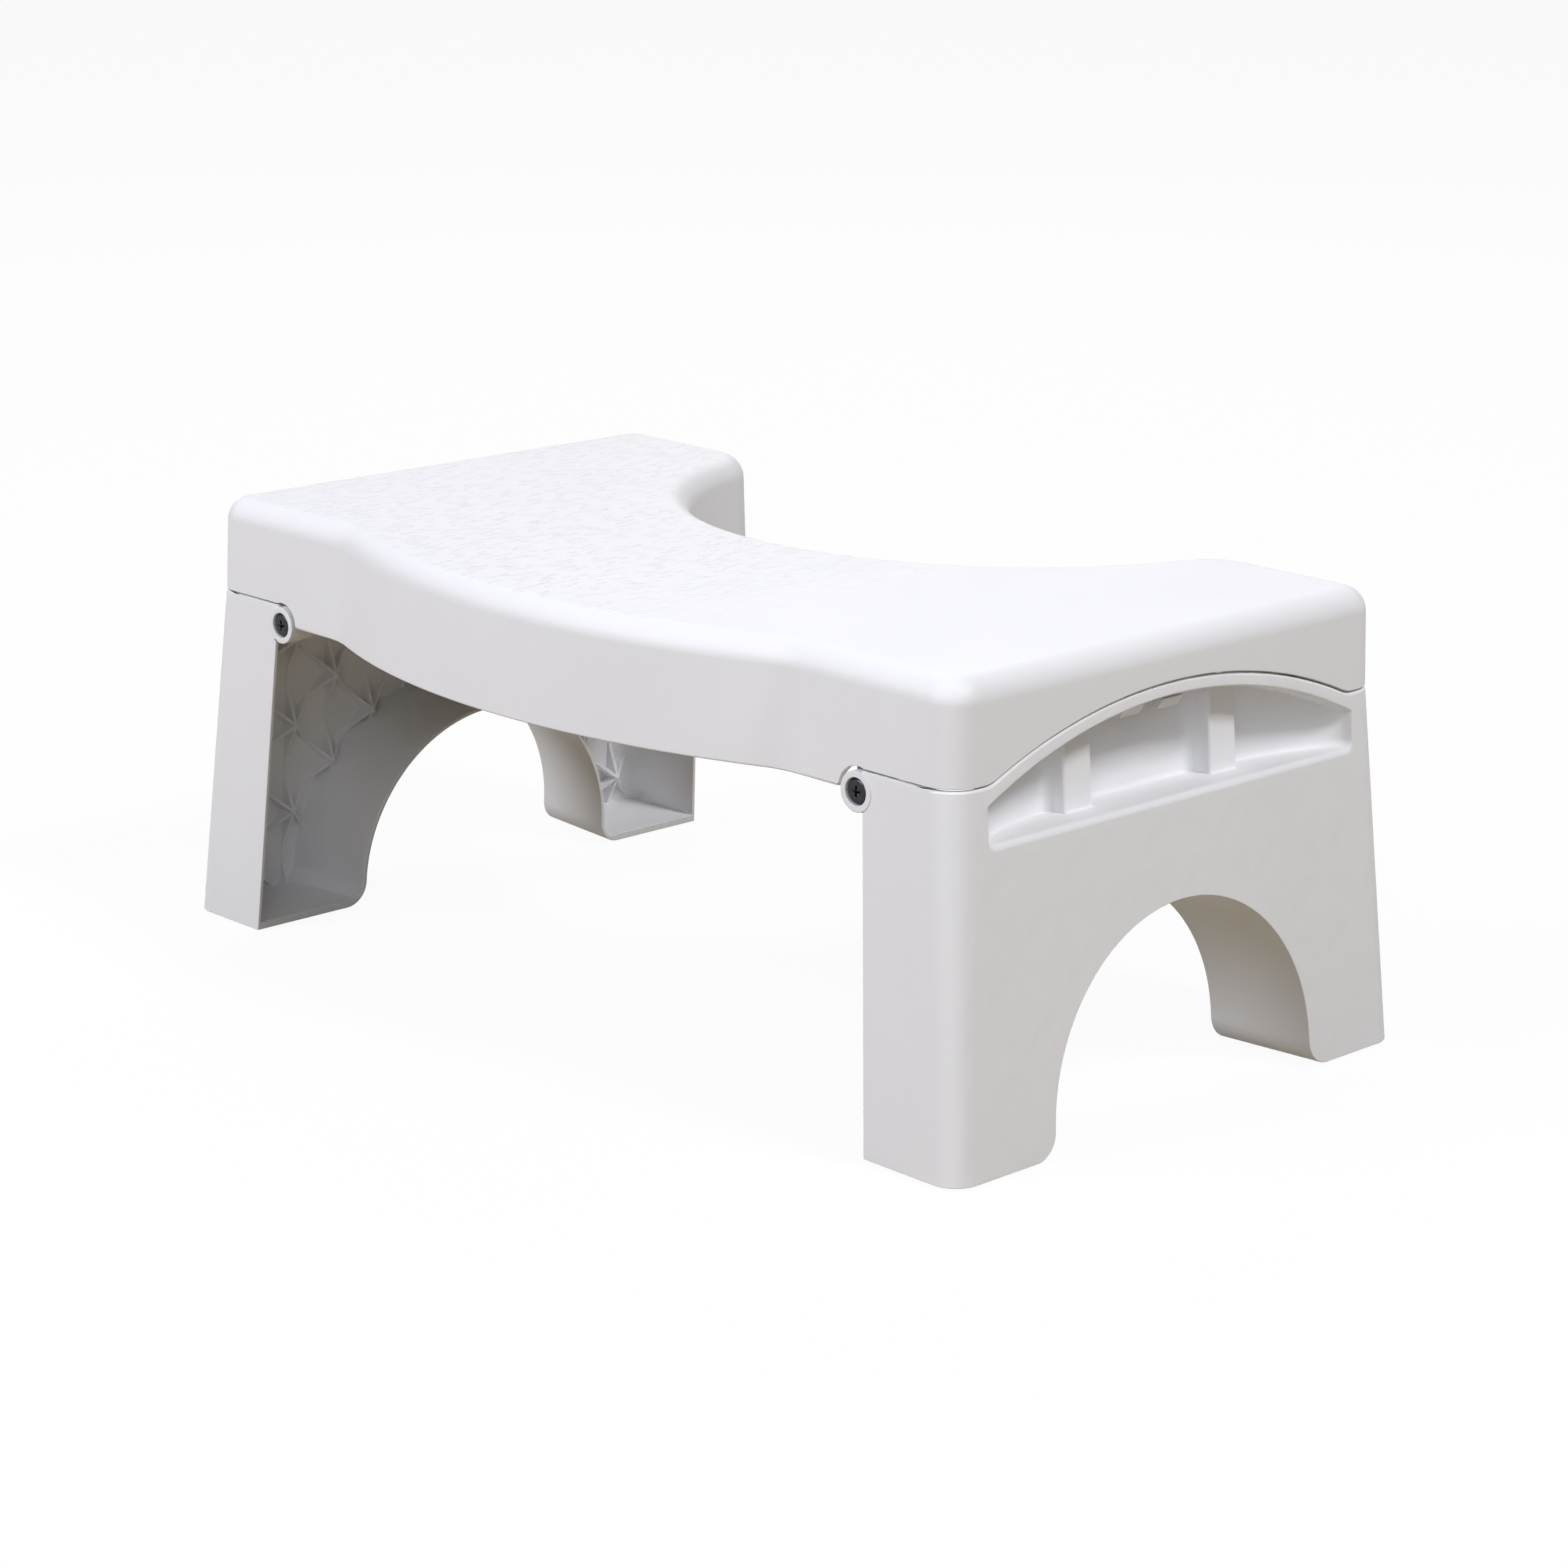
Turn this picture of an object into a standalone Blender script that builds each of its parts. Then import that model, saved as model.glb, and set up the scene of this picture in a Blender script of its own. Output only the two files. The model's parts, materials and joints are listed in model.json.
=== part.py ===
"""Folding footstool to stand in front of a toilet.

One moulded platform, bulged in front and cut out round behind for the toilet's foot, stands
on two moulded legs. Each leg is a channel with its open side inwards: a tunnel arch between
its two feet, a finger pocket under its arched top edge and a lattice of ribs inside. It turns
on two screws, one through each of its ears and a lug of the platform, and folds in under the
platform. At rest the legs are open.

Metres. X runs along the stool, -Y is the bulged front, +Y the side with the cut-out and +Z is
up. The origin is on the floor, under the middle of the stool's box. The shapes are drawn about
the plane that halves the legs, which stool_frame then sets behind the origin.
"""

import math

import bmesh
import bpy
from mathutils import Vector

# Platform
STOOL_HEIGHT = 0.1715
PLATFORM_HALF_LENGTH = 0.2030
PLATFORM_HALF_DEPTH = 0.1114
PLATFORM_CORNER = 0.013
PLATFORM_PANEL = 0.0032
SKIRT_WALL = 0.0028
SKIRT_LEAN = 0.0014
TOP_FILLET = 0.0088
SKIRT_HEIGHT = 0.0364
NOTCH_SHOULDER = 0.0184
NOTCH_RISE = 0.020
NOTCH_BLEND = 0.012
BELLY_DEPTH = 0.0256
BELLY_SHOULDER = 0.081
BELLY_BLEND = 0.040
CUTOUT_SIDE_WIDTH = 0.0795
CUTOUT_DEPTH = 0.1084
PRONG_CORNER = 0.025
LEAST_CORNER = 0.0005

# Ribs under the platform
RIB_THICKNESS = 0.0018
DEEP_RIB_HEIGHT = 0.025
SHALLOW_RIB_HEIGHT = 0.008
RIB_BAY_MARGIN = 0.0015
ROOT_EMBED = 0.0008
LONG_RIB_SHARES = (-0.93, -0.56, -0.19, 0.30, 0.66)
CROSS_RIB_SHARES = (-0.98, -0.66, -0.33, 0.0, 0.33, 0.66, 0.98)
END_RIB_SHARE = 0.42

# Hinge: the leg's ears outside, the platform's lugs inside, a screw through both
EAR_OVERHANG = 0.0022
HINGE_DROP = 0.0082
BOSS_RADIUS = 0.0072
BOSS_CLEARANCE = 0.0015
EAR_THICKNESS = 0.0069
EAR_PROUD = 0.0004
LUG_RADIUS = 0.0068
LUG_THICKNESS = 0.0045
LUG_CLEARANCE = 0.0004
COUNTERBORE_RADIUS = 0.0049
COUNTERBORE_DEPTH = 0.0045
SCREW_RADIUS = 0.0025
SCREW_HEAD_RADIUS = 0.0044
SCREW_HEAD_HEIGHT = 0.0031
SCREW_HEAD_DOME = 0.0011
SCREW_POINT = 0.0006
RECESS_LENGTH = 0.0046
RECESS_WIDTH = 0.0011
RECESS_DEPTH = 0.0015
WASHER_RADIUS = 0.0050
WASHER_THICKNESS = 0.0010
NUT_ACROSS_FLATS = 0.0080
NUT_HEIGHT = 0.0032
NUT_COLLAR_WALL = 0.0006
NUT_COLLAR_HEIGHT = 0.0014
SCREW_END_PROUD = 0.0012
BORE_CLEARANCE = 0.0003
SEAT_GAP = 0.0003

# Catch tongues under the platform, which reach into the legs' pockets
TONGUE_WIDTH = 0.0105
TONGUE_SPACING = 0.0200
TONGUE_THICKNESS = 0.0028
TONGUE_SETBACK = 0.0150
TONGUE_TIP_BELOW_CROWN = 0.0085
TONGUE_NOSE = 0.0026
TONGUE_NOSE_HEIGHT = 0.0042
TONGUE_CLEARANCE = 0.0015

# Legs
SEAM_GAP = 0.0005
LEG_SPLAY = 0.0113
LEG_SIDE_SPLAY = 0.0064
LEG_WALL = 0.0028
LEG_FOOT_CORNER = 0.0105
FLANGE_WIDTH_AT_SEAM = 0.0420
FLANGE_WIDTH_AT_FOOT = 0.0433
FOOT_PLATE = 0.0030
TUNNEL_RADIUS = 0.0677
TUNNEL_TAPER = 0.0044
FOOT_ROUNDING = 0.0095
HANDLE_SIDE_WIDTH = 0.0166
HANDLE_RISE = 0.0370
HANDLE_BRIDGE = 0.0053
HANDLE_END_RISE = 0.0149
HANDLE_CORNER = 0.0055
POCKET_DEPTH = 0.0250
POCKET_END_ROUNDING = 0.0200
POST_SPACING = 0.0760
POST_WIDTH = 0.0154
POST_DEPTH = 0.0102
CATCH_WINDOW_EDGE = 0.0060
CATCH_WINDOW_DROP = 0.0050

# Lattice of ribs inside the leg
LATTICE_PITCH = 0.0197
LATTICE_RISE = 0.0185
LATTICE_BASE_HEIGHT = 0.0354
LATTICE_RIB_HEIGHT = 0.0080
LATTICE_RIB_THICKNESS = 0.0016
LATTICE_RIB_STEP = 0.0005

# Foot pads, let into the feet
PAD_PROUD = 0.0010
PAD_RECESS = 0.0015
PAD_MARGIN = 0.0055
PAD_CORNER = 0.0040

# How far a cutter runs past what it cuts, and how close two points are one
OVERRUN = 0.004
MERGE_DISTANCE = 0.00001

# Facets of a round stretch
CORNER_STEPS = 5
PRONG_STEPS = 6
BLEND_STEPS = 4
BELLY_STEPS = 18
CUTOUT_STEPS = 24
FILLET_STEPS = 4
VOID_STEPS = 2
NOTCH_STEPS = 16
TUNNEL_STEPS = 24
CROWN_STEPS = 14
POCKET_STEPS = 3
BOSS_SIDES = 28
SCREW_SIDES = 16
DOME_STEPS = 3
NUT_SIDES = 6

QUARTER = math.pi / 2
HALF = math.pi
SMOOTH_ANGLE = math.radians(30)

# Places that follow from the sizes
SEAM_HEIGHT = STOOL_HEIGHT - SKIRT_HEIGHT
HINGE_HEIGHT = SEAM_HEIGHT - HINGE_DROP
FOOT_HALF_DEPTH = PLATFORM_HALF_DEPTH + LEG_SIDE_SPLAY
FOOT_REACH = PLATFORM_HALF_LENGTH + LEG_SPLAY
HINGE_REACH = PLATFORM_HALF_LENGTH - FLANGE_WIDTH_AT_SEAM - EAR_OVERHANG
NOTCH_HALF_SPAN = PLATFORM_HALF_DEPTH - NOTCH_SHOULDER
NOTCH_RADIUS = (NOTCH_HALF_SPAN ** 2 + NOTCH_RISE ** 2) / (2 * NOTCH_RISE)
NOTCH_CENTRE_HEIGHT = SEAM_HEIGHT + NOTCH_RISE - NOTCH_RADIUS
BELLY_HALF_SPAN = PLATFORM_HALF_LENGTH - BELLY_SHOULDER
BELLY_RADIUS = (BELLY_HALF_SPAN ** 2 + BELLY_DEPTH ** 2) / (2 * BELLY_DEPTH)
BELLY_CENTRE = BELLY_RADIUS - PLATFORM_HALF_DEPTH - BELLY_DEPTH
CUTOUT_RADIUS = PLATFORM_HALF_LENGTH - CUTOUT_SIDE_WIDTH
CUTOUT_CENTRE = PLATFORM_HALF_DEPTH - CUTOUT_DEPTH + CUTOUT_RADIUS
PANEL_UNDERSIDE = STOOL_HEIGHT - PLATFORM_PANEL
FRAME_SHIFT = (BELLY_DEPTH - LEG_SIDE_SPLAY) / 2
LEG_LEAN = LEG_SPLAY / SEAM_HEIGHT
EAR_FACE = PLATFORM_HALF_DEPTH + LEG_SIDE_SPLAY * HINGE_DROP / SEAM_HEIGHT + EAR_PROUD
EAR_BACK = EAR_FACE - EAR_THICKNESS
LUG_FACE = EAR_BACK - LUG_CLEARANCE
LUG_BACK = LUG_FACE - LUG_THICKNESS
SCREW_SEAT = EAR_FACE - COUNTERBORE_DEPTH + SEAT_GAP
WASHER_FACE = LUG_BACK - SEAT_GAP
NUT_FACE = WASHER_FACE - WASHER_THICKNESS - SEAT_GAP
NUT_BACK = NUT_FACE - NUT_HEIGHT - NUT_COLLAR_HEIGHT
SCREW_END = NUT_BACK - SCREW_END_PROUD
NUT_COLLAR_RADIUS = SCREW_RADIUS + BORE_CLEARANCE + NUT_COLLAR_WALL
HANDLE_HALF_WIDTH = PLATFORM_HALF_DEPTH - HANDLE_SIDE_WIDTH
HANDLE_CROWN_HEIGHT = SEAM_HEIGHT + NOTCH_RISE - HANDLE_BRIDGE
HANDLE_SILL_HEIGHT = HANDLE_CROWN_HEIGHT - HANDLE_RISE
HANDLE_CROWN_DROP = HANDLE_RISE - HANDLE_END_RISE
HANDLE_CROWN_RADIUS = (HANDLE_HALF_WIDTH ** 2 + HANDLE_CROWN_DROP ** 2) / (2 * HANDLE_CROWN_DROP)
CLEAR_HEIGHT = SEAM_HEIGHT + NOTCH_RISE + OVERRUN


def clear_scene():
    """Remove every object that is in the scene."""
    for scene_object in list(bpy.data.objects):
        bpy.data.objects.remove(scene_object, do_unlink=True)


def moulded_material(name, colour, roughness, metallic=0.0):
    """Material of one colour for a moulded or turned piece."""
    material = bpy.data.materials.new(name)
    material.use_nodes = True
    material.diffuse_color = (*colour, 1.0)
    shader = material.node_tree.nodes["Principled BSDF"]
    shader.inputs["Base Color"].default_value = (*colour, 1.0)
    shader.inputs["Roughness"].default_value = roughness
    shader.inputs["Metallic"].default_value = metallic
    return material


def add_object(name, mesh_data):
    """Put a bmesh into the scene as an object."""
    mesh = bpy.data.meshes.new(name)
    mesh_data.to_mesh(mesh)
    mesh_data.free()
    scene_object = bpy.data.objects.new(name, mesh)
    bpy.context.scene.collection.objects.link(scene_object)
    return scene_object


def arc(centre, radius, start, end, steps):
    """Points of an arc in a plane, both ends included."""
    turn = (end - start) / steps
    angles = [start + turn * step for step in range(steps + 1)]
    return [(centre[0] + radius * math.cos(a), centre[1] + radius * math.sin(a)) for a in angles]


def circle(centre, radius, sides):
    """Points of a full circle in a plane."""
    return arc(centre, radius, 0, 2 * HALF, sides)[:-1]


def mirrored(points):
    """The same points on the other side of the first axis, in the opposite order."""
    return [(-first, second) for first, second in reversed(points)]


def loft(name, rings):
    """Closed skin through rings that have as many points each, with flat ends."""
    mesh_data = bmesh.new()
    loops = [[mesh_data.verts.new(point) for point in ring] for ring in rings]
    for lower, upper in zip(loops, loops[1:]):
        for index in range(len(lower)):
            after = (index + 1) % len(lower)
            mesh_data.faces.new((lower[index], lower[after], upper[after], upper[index]))
    mesh_data.faces.new(list(reversed(loops[0])))
    mesh_data.faces.new(loops[-1])
    bmesh.ops.recalc_face_normals(mesh_data, faces=mesh_data.faces)
    return add_object(name, mesh_data)


def prism(name, outline, axis, start, end):
    """Outline carried straight along an axis. It is drawn in the other two, in X, Y, Z order."""
    rings = []
    for place in (start, end):
        ring = [list(point) for point in outline]
        for point in ring:
            point.insert(axis, place)
        rings.append(ring)
    return loft(name, rings)


def box(name, low, high):
    """Box between two corners."""
    outline = [(low[0], low[1]), (high[0], low[1]), (high[0], high[1]), (low[0], high[1])]
    return prism(name, outline, 2, low[2], high[2])


def combine(base, others, operation):
    """Cut, join or intersect a solid with others, keep the result and remove the others."""
    for other in others:
        modifier = base.modifiers.new(operation, "BOOLEAN")
        modifier.operation = operation
        modifier.solver = "EXACT"
        modifier.object = other
        depsgraph = bpy.context.evaluated_depsgraph_get()
        result = bpy.data.meshes.new_from_object(base.evaluated_get(depsgraph))
        base.modifiers.clear()
        spent = base.data
        base.data = result
        bpy.data.meshes.remove(spent)
        bpy.data.objects.remove(other, do_unlink=True)
    return base


def finish(scene_object, material):
    """Merge doubled points, shade round stretches smooth and give the piece its material."""
    mesh_data = bmesh.new()
    mesh_data.from_mesh(scene_object.data)
    bmesh.ops.remove_doubles(mesh_data, verts=mesh_data.verts, dist=MERGE_DISTANCE)
    bmesh.ops.dissolve_degenerate(mesh_data, dist=MERGE_DISTANCE, edges=mesh_data.edges)
    mesh_data.to_mesh(scene_object.data)
    mesh_data.free()
    scene_object.data.shade_smooth()
    scene_object.data.set_sharp_from_angle(angle=SMOOTH_ANGLE)
    scene_object.data.materials.clear()
    scene_object.data.materials.append(material)


def platform_outline(inset):
    """Plan outline of the platform, drawn in all round by inset, anticlockwise."""
    length = PLATFORM_HALF_LENGTH - inset
    depth = PLATFORM_HALF_DEPTH - inset
    corner = max(PLATFORM_CORNER - inset, LEAST_CORNER)
    prong = max(PRONG_CORNER - inset, LEAST_CORNER)
    cutout = CUTOUT_RADIUS + inset
    blend = BELLY_BLEND + inset
    belly = BELLY_RADIUS - inset
    front_corner = arc((length - corner, corner - depth), corner, -QUARTER, 0, CORNER_STEPS)
    back_corner = arc((length - corner, depth - corner), corner, 0, QUARTER, CORNER_STEPS)
    prong_rise = depth - prong - CUTOUT_CENTRE
    prong_reach = math.sqrt((cutout + prong) ** 2 - prong_rise ** 2)
    meeting = math.atan2(prong_rise, prong_reach)
    prong_centre = (prong_reach, depth - prong)
    prong_tip = arc(prong_centre, prong, QUARTER, HALF + meeting, PRONG_STEPS)
    cutout_arc = arc((0, CUTOUT_CENTRE), cutout, meeting, -HALF - meeting, CUTOUT_STEPS)
    blend_drop = BELLY_CENTRE + depth + blend
    blend_reach = math.sqrt((belly + blend) ** 2 - blend_drop ** 2)
    lean = math.atan2(blend_drop, blend_reach)
    blend_centre = (blend_reach, -depth - blend)
    blend_arc = arc(blend_centre, blend, HALF - lean, QUARTER, BLEND_STEPS)
    belly_arc = arc((0, BELLY_CENTRE), belly, lean - HALF, -lean, BELLY_STEPS)
    right_side = front_corner + back_corner + prong_tip
    return (right_side + cutout_arc[1:-1] + mirrored(right_side) + mirrored(blend_arc)
            + belly_arc[1:-1] + blend_arc)


def platform_ring(height, inset):
    """Plan outline of the platform at a height, with the lean of its sides."""
    lean = SKIRT_LEAN * (height - SEAM_HEIGHT) / (STOOL_HEIGHT - SEAM_HEIGHT)
    return [(x, y, height) for x, y in platform_outline(lean + inset)]


def rounded_top(start, radius, inset, steps):
    """Plan outlines that round the platform's upper edge over, from a height upwards."""
    rings = []
    for step in range(steps + 1):
        turn = QUARTER * step / steps
        height = start + radius * math.sin(turn)
        rings.append(platform_ring(height, inset + radius * (1 - math.cos(turn))))
    return rings


def seam_profile(drop):
    """Seam between platform and leg, seen along X, from -Y to +Y and lowered by drop.

    It is level over the leg's corners and arches up between them.
    """
    radius = NOTCH_RADIUS - drop
    blend = NOTCH_BLEND + drop
    blend_height = SEAM_HEIGHT + NOTCH_BLEND
    climb = blend_height - NOTCH_CENTRE_HEIGHT
    blend_place = math.sqrt((radius + blend) ** 2 - climb ** 2)
    slope = math.atan2(climb, blend_place)
    arch = arc((0, NOTCH_CENTRE_HEIGHT), radius, slope, HALF - slope, NOTCH_STEPS)
    blend_arc = arc((blend_place, blend_height), blend, -QUARTER, slope - HALF, BLEND_STEPS)
    right_side = [(FOOT_HALF_DEPTH + OVERRUN, SEAM_HEIGHT - drop)] + blend_arc
    return list(reversed(right_side + arch[1:-1] + mirrored(right_side)))


def platform_ribs(side_room):
    """Boxes for the ribs under the platform: deep between the hinges, shallow beyond them."""
    half_rib = RIB_THICKNESS / 2
    top = PANEL_UNDERSIDE + ROOT_EMBED
    deep = PANEL_UNDERSIDE - DEEP_RIB_HEIGHT
    shallow = PANEL_UNDERSIDE - SHALLOW_RIB_HEIGHT
    bay = HINGE_REACH - BOSS_RADIUS - BOSS_CLEARANCE - RIB_BAY_MARGIN
    far = PLATFORM_HALF_LENGTH + OVERRUN
    ribs = []
    for share in LONG_RIB_SHARES:
        place = PLATFORM_HALF_DEPTH * share
        ribs.append(box("deep_rib", (-bay, place - half_rib, deep), (bay, place + half_rib, top)))
        ribs.append(box("long_rib", (-far, place - half_rib, shallow), (far, place + half_rib, top)))
    for share in CROSS_RIB_SHARES:
        place = bay * share
        low = (place - half_rib, -side_room, deep)
        ribs.append(box("cross_rib", low, (place + half_rib, side_room, top)))
    for side in (-1, 1):
        place = side * (HINGE_REACH + (PLATFORM_HALF_LENGTH - HINGE_REACH) * END_RIB_SHARE)
        low = (place - half_rib, -side_room, shallow)
        ribs.append(box("end_rib", low, (place + half_rib, side_room, top)))
    return ribs


def hinge_lugs():
    """The platform's four lugs, each a plate with a round foot and a root on the skirt."""
    top = PANEL_UNDERSIDE + ROOT_EMBED
    root = HINGE_HEIGHT + BOSS_RADIUS + 2 * BOSS_CLEARANCE
    root_top = STOOL_HEIGHT - TOP_FILLET
    skirt = PLATFORM_HALF_DEPTH - SKIRT_WALL / 2
    root_reach = LUG_RADIUS - RIB_THICKNESS
    parts = []
    for side in (-1, 1):
        centre = (side * HINGE_REACH, HINGE_HEIGHT)
        left = centre[0] - LUG_RADIUS
        right = centre[0] + LUG_RADIUS
        foot = arc(centre, LUG_RADIUS, -HALF, 0, BOSS_SIDES // 2)
        outline = foot + [(right, top), (left, top)]
        for face in (-1, 1):
            near, away = sorted((face * LUG_BACK, face * LUG_FACE))
            parts.append(prism("lug", outline, 1, near, away))
            low, high = sorted((face * (LUG_BACK + LUG_FACE) / 2, face * skirt))
            parts.append(box("lug_root", (centre[0] - root_reach, low, root),
                             (centre[0] + root_reach, high, root_top)))
    return parts


def catch_tongues():
    """Two tongues at each end, with a wedge nose that points out of the pocket."""
    tip = HANDLE_CROWN_HEIGHT - TONGUE_TIP_BELOW_CROWN
    top = PANEL_UNDERSIDE + ROOT_EMBED
    front = leg_reach(HANDLE_CROWN_HEIGHT) - TONGUE_SETBACK + TONGUE_THICKNESS
    back = front - TONGUE_THICKNESS
    outline = [(back, tip), (front, tip), (front + TONGUE_NOSE, tip + TONGUE_NOSE_HEIGHT),
               (front, tip + TONGUE_NOSE_HEIGHT), (front, top), (back, top)]
    parts = []
    for shape in (outline, mirrored(outline)):
        for side in (-1, 1):
            middle = side * TONGUE_SPACING / 2
            low = middle - TONGUE_WIDTH / 2
            parts.append(prism("tongue", shape, 1, low, low + TONGUE_WIDTH))
    return parts


def build_platform():
    """Platform: a shell with ribs, cut to the legs' seam and round their ears."""
    wall_top = STOOL_HEIGHT - TOP_FILLET
    rings = [platform_ring(HINGE_HEIGHT, 0)]
    rings += rounded_top(wall_top, TOP_FILLET, 0, FILLET_STEPS)
    platform = loft("top_platform", rings)
    low = HINGE_HEIGHT - OVERRUN
    void_rings = [platform_ring(low, SKIRT_WALL)]
    void_rings += rounded_top(wall_top, PANEL_UNDERSIDE - wall_top, SKIRT_WALL, VOID_STEPS)
    void = loft("void", void_rings)
    side_room = PLATFORM_HALF_DEPTH + BELLY_DEPTH + OVERRUN
    combine(void, platform_ribs(side_room), "DIFFERENCE")
    combine(platform, [void], "DIFFERENCE")
    below = [(FOOT_HALF_DEPTH + OVERRUN, low), (-FOOT_HALF_DEPTH - OVERRUN, low)]
    leg_room = seam_profile(0) + below
    far = PLATFORM_HALF_LENGTH + OVERRUN
    cutters = []
    for side in (-1, 1):
        near, away = sorted((side * HINGE_REACH, side * far))
        cutters.append(prism("leg_room", leg_room, 0, near, away))
        notch = circle((side * HINGE_REACH, HINGE_HEIGHT), BOSS_RADIUS + BOSS_CLEARANCE, BOSS_SIDES)
        cutters.append(prism("ear_room", notch, 1, -side_room, side_room))
    combine(platform, cutters, "DIFFERENCE")
    combine(platform, hinge_lugs() + catch_tongues(), "UNION")
    bores = []
    for side in (-1, 1):
        bore = circle((side * HINGE_REACH, HINGE_HEIGHT), SCREW_RADIUS + BORE_CLEARANCE, SCREW_SIDES)
        bores.append(prism("bore", bore, 1, -side_room, side_room))
    return combine(platform, bores, "DIFFERENCE")


def leg_reach(height):
    """How far out the leg's outer face is at a height."""
    return PLATFORM_HALF_LENGTH + LEG_LEAN * (SEAM_HEIGHT - height)


def leg_half_depth(height):
    """How far the leg's side faces are from its middle at a height."""
    return PLATFORM_HALF_DEPTH + LEG_SIDE_SPLAY * (SEAM_HEIGHT - height) / SEAM_HEIGHT


def leg_inner_edge(height):
    """How far out the open side of the channel is at a height."""
    share = (SEAM_HEIGHT - height) / SEAM_HEIGHT
    width = FLANGE_WIDTH_AT_SEAM + (FLANGE_WIDTH_AT_FOOT - FLANGE_WIDTH_AT_SEAM) * share
    return leg_reach(height) - width


def leg_ring(height, inset, opening):
    """Plan outline of the channel at a height, its open side moved inwards by opening."""
    share = (SEAM_HEIGHT - height) / SEAM_HEIGHT
    corner = PLATFORM_CORNER + (LEG_FOOT_CORNER - PLATFORM_CORNER) * share - inset
    reach = leg_reach(height) - inset
    depth = leg_half_depth(height) - inset
    inner = leg_inner_edge(height) - opening
    front = arc((reach - corner, corner - depth), corner, -QUARTER, 0, CORNER_STEPS)
    back = arc((reach - corner, depth - corner), corner, 0, QUARTER, CORNER_STEPS)
    outline = [(inner, -depth)] + front + back + [(inner, depth)]
    return [(x, y, height) for x, y in outline]


def face_ring(outline, inset, narrowing=0):
    """Outline drawn on the leg's leaning outer face, moved into the leg square to that face.

    Narrowing draws its two ends in.
    """
    half_width = max(y for y, z in outline)
    share = 1 - narrowing / half_width
    return [(leg_reach(z) - inset, y * share, z - LEG_LEAN * inset) for y, z in outline]


def tunnel_outline(grow, narrowing):
    """Tunnel between the feet: a round arch that flares into the feet's rounded corners."""
    spring = PAD_PROUD + FOOT_ROUNDING
    radius = TUNNEL_RADIUS - narrowing
    rounding = FOOT_ROUNDING - grow
    foot = arc((radius + FOOT_ROUNDING, spring), rounding, -QUARTER, -HALF, CORNER_STEPS)
    arch = arc((0, spring), radius + grow, 0, HALF, TUNNEL_STEPS)
    right_side = [(radius + FOOT_ROUNDING, -OVERRUN)] + foot
    return right_side + arch[1:-1] + mirrored(right_side)


def tunnel_solid(name, grow):
    """Tunnel carried through the leg, narrowing towards the channel's open side."""
    span = FLANGE_WIDTH_AT_FOOT
    run = OVERRUN + LEG_SPLAY
    rings = []
    for place in (FOOT_REACH + OVERRUN, FOOT_REACH - span - run):
        narrowing = TUNNEL_TAPER * (FOOT_REACH - place) / span
        rings.append([(place, y, z) for y, z in tunnel_outline(grow, narrowing)])
    return loft(name, rings)


def handle_crown(place):
    """Height of the finger pocket's arched upper edge on the outer face."""
    centre = HANDLE_CROWN_HEIGHT - HANDLE_CROWN_RADIUS
    return centre + math.sqrt(HANDLE_CROWN_RADIUS ** 2 - place ** 2)


def handle_outline(grow):
    """Finger pocket on the outer face: a level sill, upright ends and an arched crown."""
    width = HANDLE_HALF_WIDTH + grow
    sill = HANDLE_SILL_HEIGHT - grow
    corner = HANDLE_CORNER + grow
    radius = HANDLE_CROWN_RADIUS + grow
    centre = HANDLE_CROWN_HEIGHT - HANDLE_CROWN_RADIUS
    shoulder = math.acos(width / radius)
    sill_corner = arc((width - corner, sill + corner), corner, -QUARTER, 0, CORNER_STEPS)
    crown = arc((0, centre), radius, shoulder, HALF - shoulder, CROWN_STEPS)
    return sill_corner + crown + mirrored(sill_corner)


def pocket_solid(name, grow, start):
    """Finger pocket carried into the leg, its two ends rounded off towards the back."""
    outline = handle_outline(grow)
    rounding = POCKET_END_ROUNDING + grow
    straight = POCKET_DEPTH - POCKET_END_ROUNDING
    rings = [face_ring(outline, start)]
    for step in range(POCKET_STEPS + 1):
        turn = QUARTER * step / POCKET_STEPS
        inset = straight + rounding * math.sin(turn)
        rings.append(face_ring(outline, inset, rounding * (1 - math.cos(turn))))
    return loft(name, rings)


def face_prism(name, outline, start, end):
    """Outline drawn on the outer face and carried straight into the leg."""
    return loft(name, [face_ring(outline, start), face_ring(outline, end)])


def lattice_bar(start, end, height):
    """One straight rib of the lattice between two places on the outer face."""
    along = (Vector(end) - Vector(start)).normalized()
    across = Vector((-along.y, along.x)) * LATTICE_RIB_THICKNESS / 2
    first, last = Vector(start), Vector(end)
    outline = [tuple(first - across), tuple(last - across), tuple(last + across), tuple(first + across)]
    rings = []
    for inset in (LEG_WALL / 2, LEG_WALL + height):
        rings.append([(leg_reach(z) - inset, y, z) for y, z in outline])
    return loft("lattice_bar", rings)


def leg_lattice():
    """Upright and slanting ribs between the tunnel, the feet and the finger pocket."""
    floor = PAD_PROUD + FOOT_PLATE / 2
    ceiling = HANDLE_SILL_HEIGHT - LEG_WALL / 2
    depth = leg_half_depth(0) - LEG_WALL / 2
    columns = int(depth / LATTICE_PITCH)
    bars = []
    for column in range(-columns, columns + 1):
        place = LATTICE_PITCH * column
        start = floor
        if abs(place) < TUNNEL_RADIUS + LEG_WALL:
            start = PAD_PROUD + TUNNEL_RADIUS + LEG_WALL / 2
            start -= TUNNEL_RADIUS - math.sqrt(TUNNEL_RADIUS ** 2 - min(abs(place), TUNNEL_RADIUS) ** 2)
        bars.append(lattice_bar((place, start), (place, ceiling), LATTICE_RIB_HEIGHT))
    return bars + slanting_bars(floor, ceiling, depth)


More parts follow.
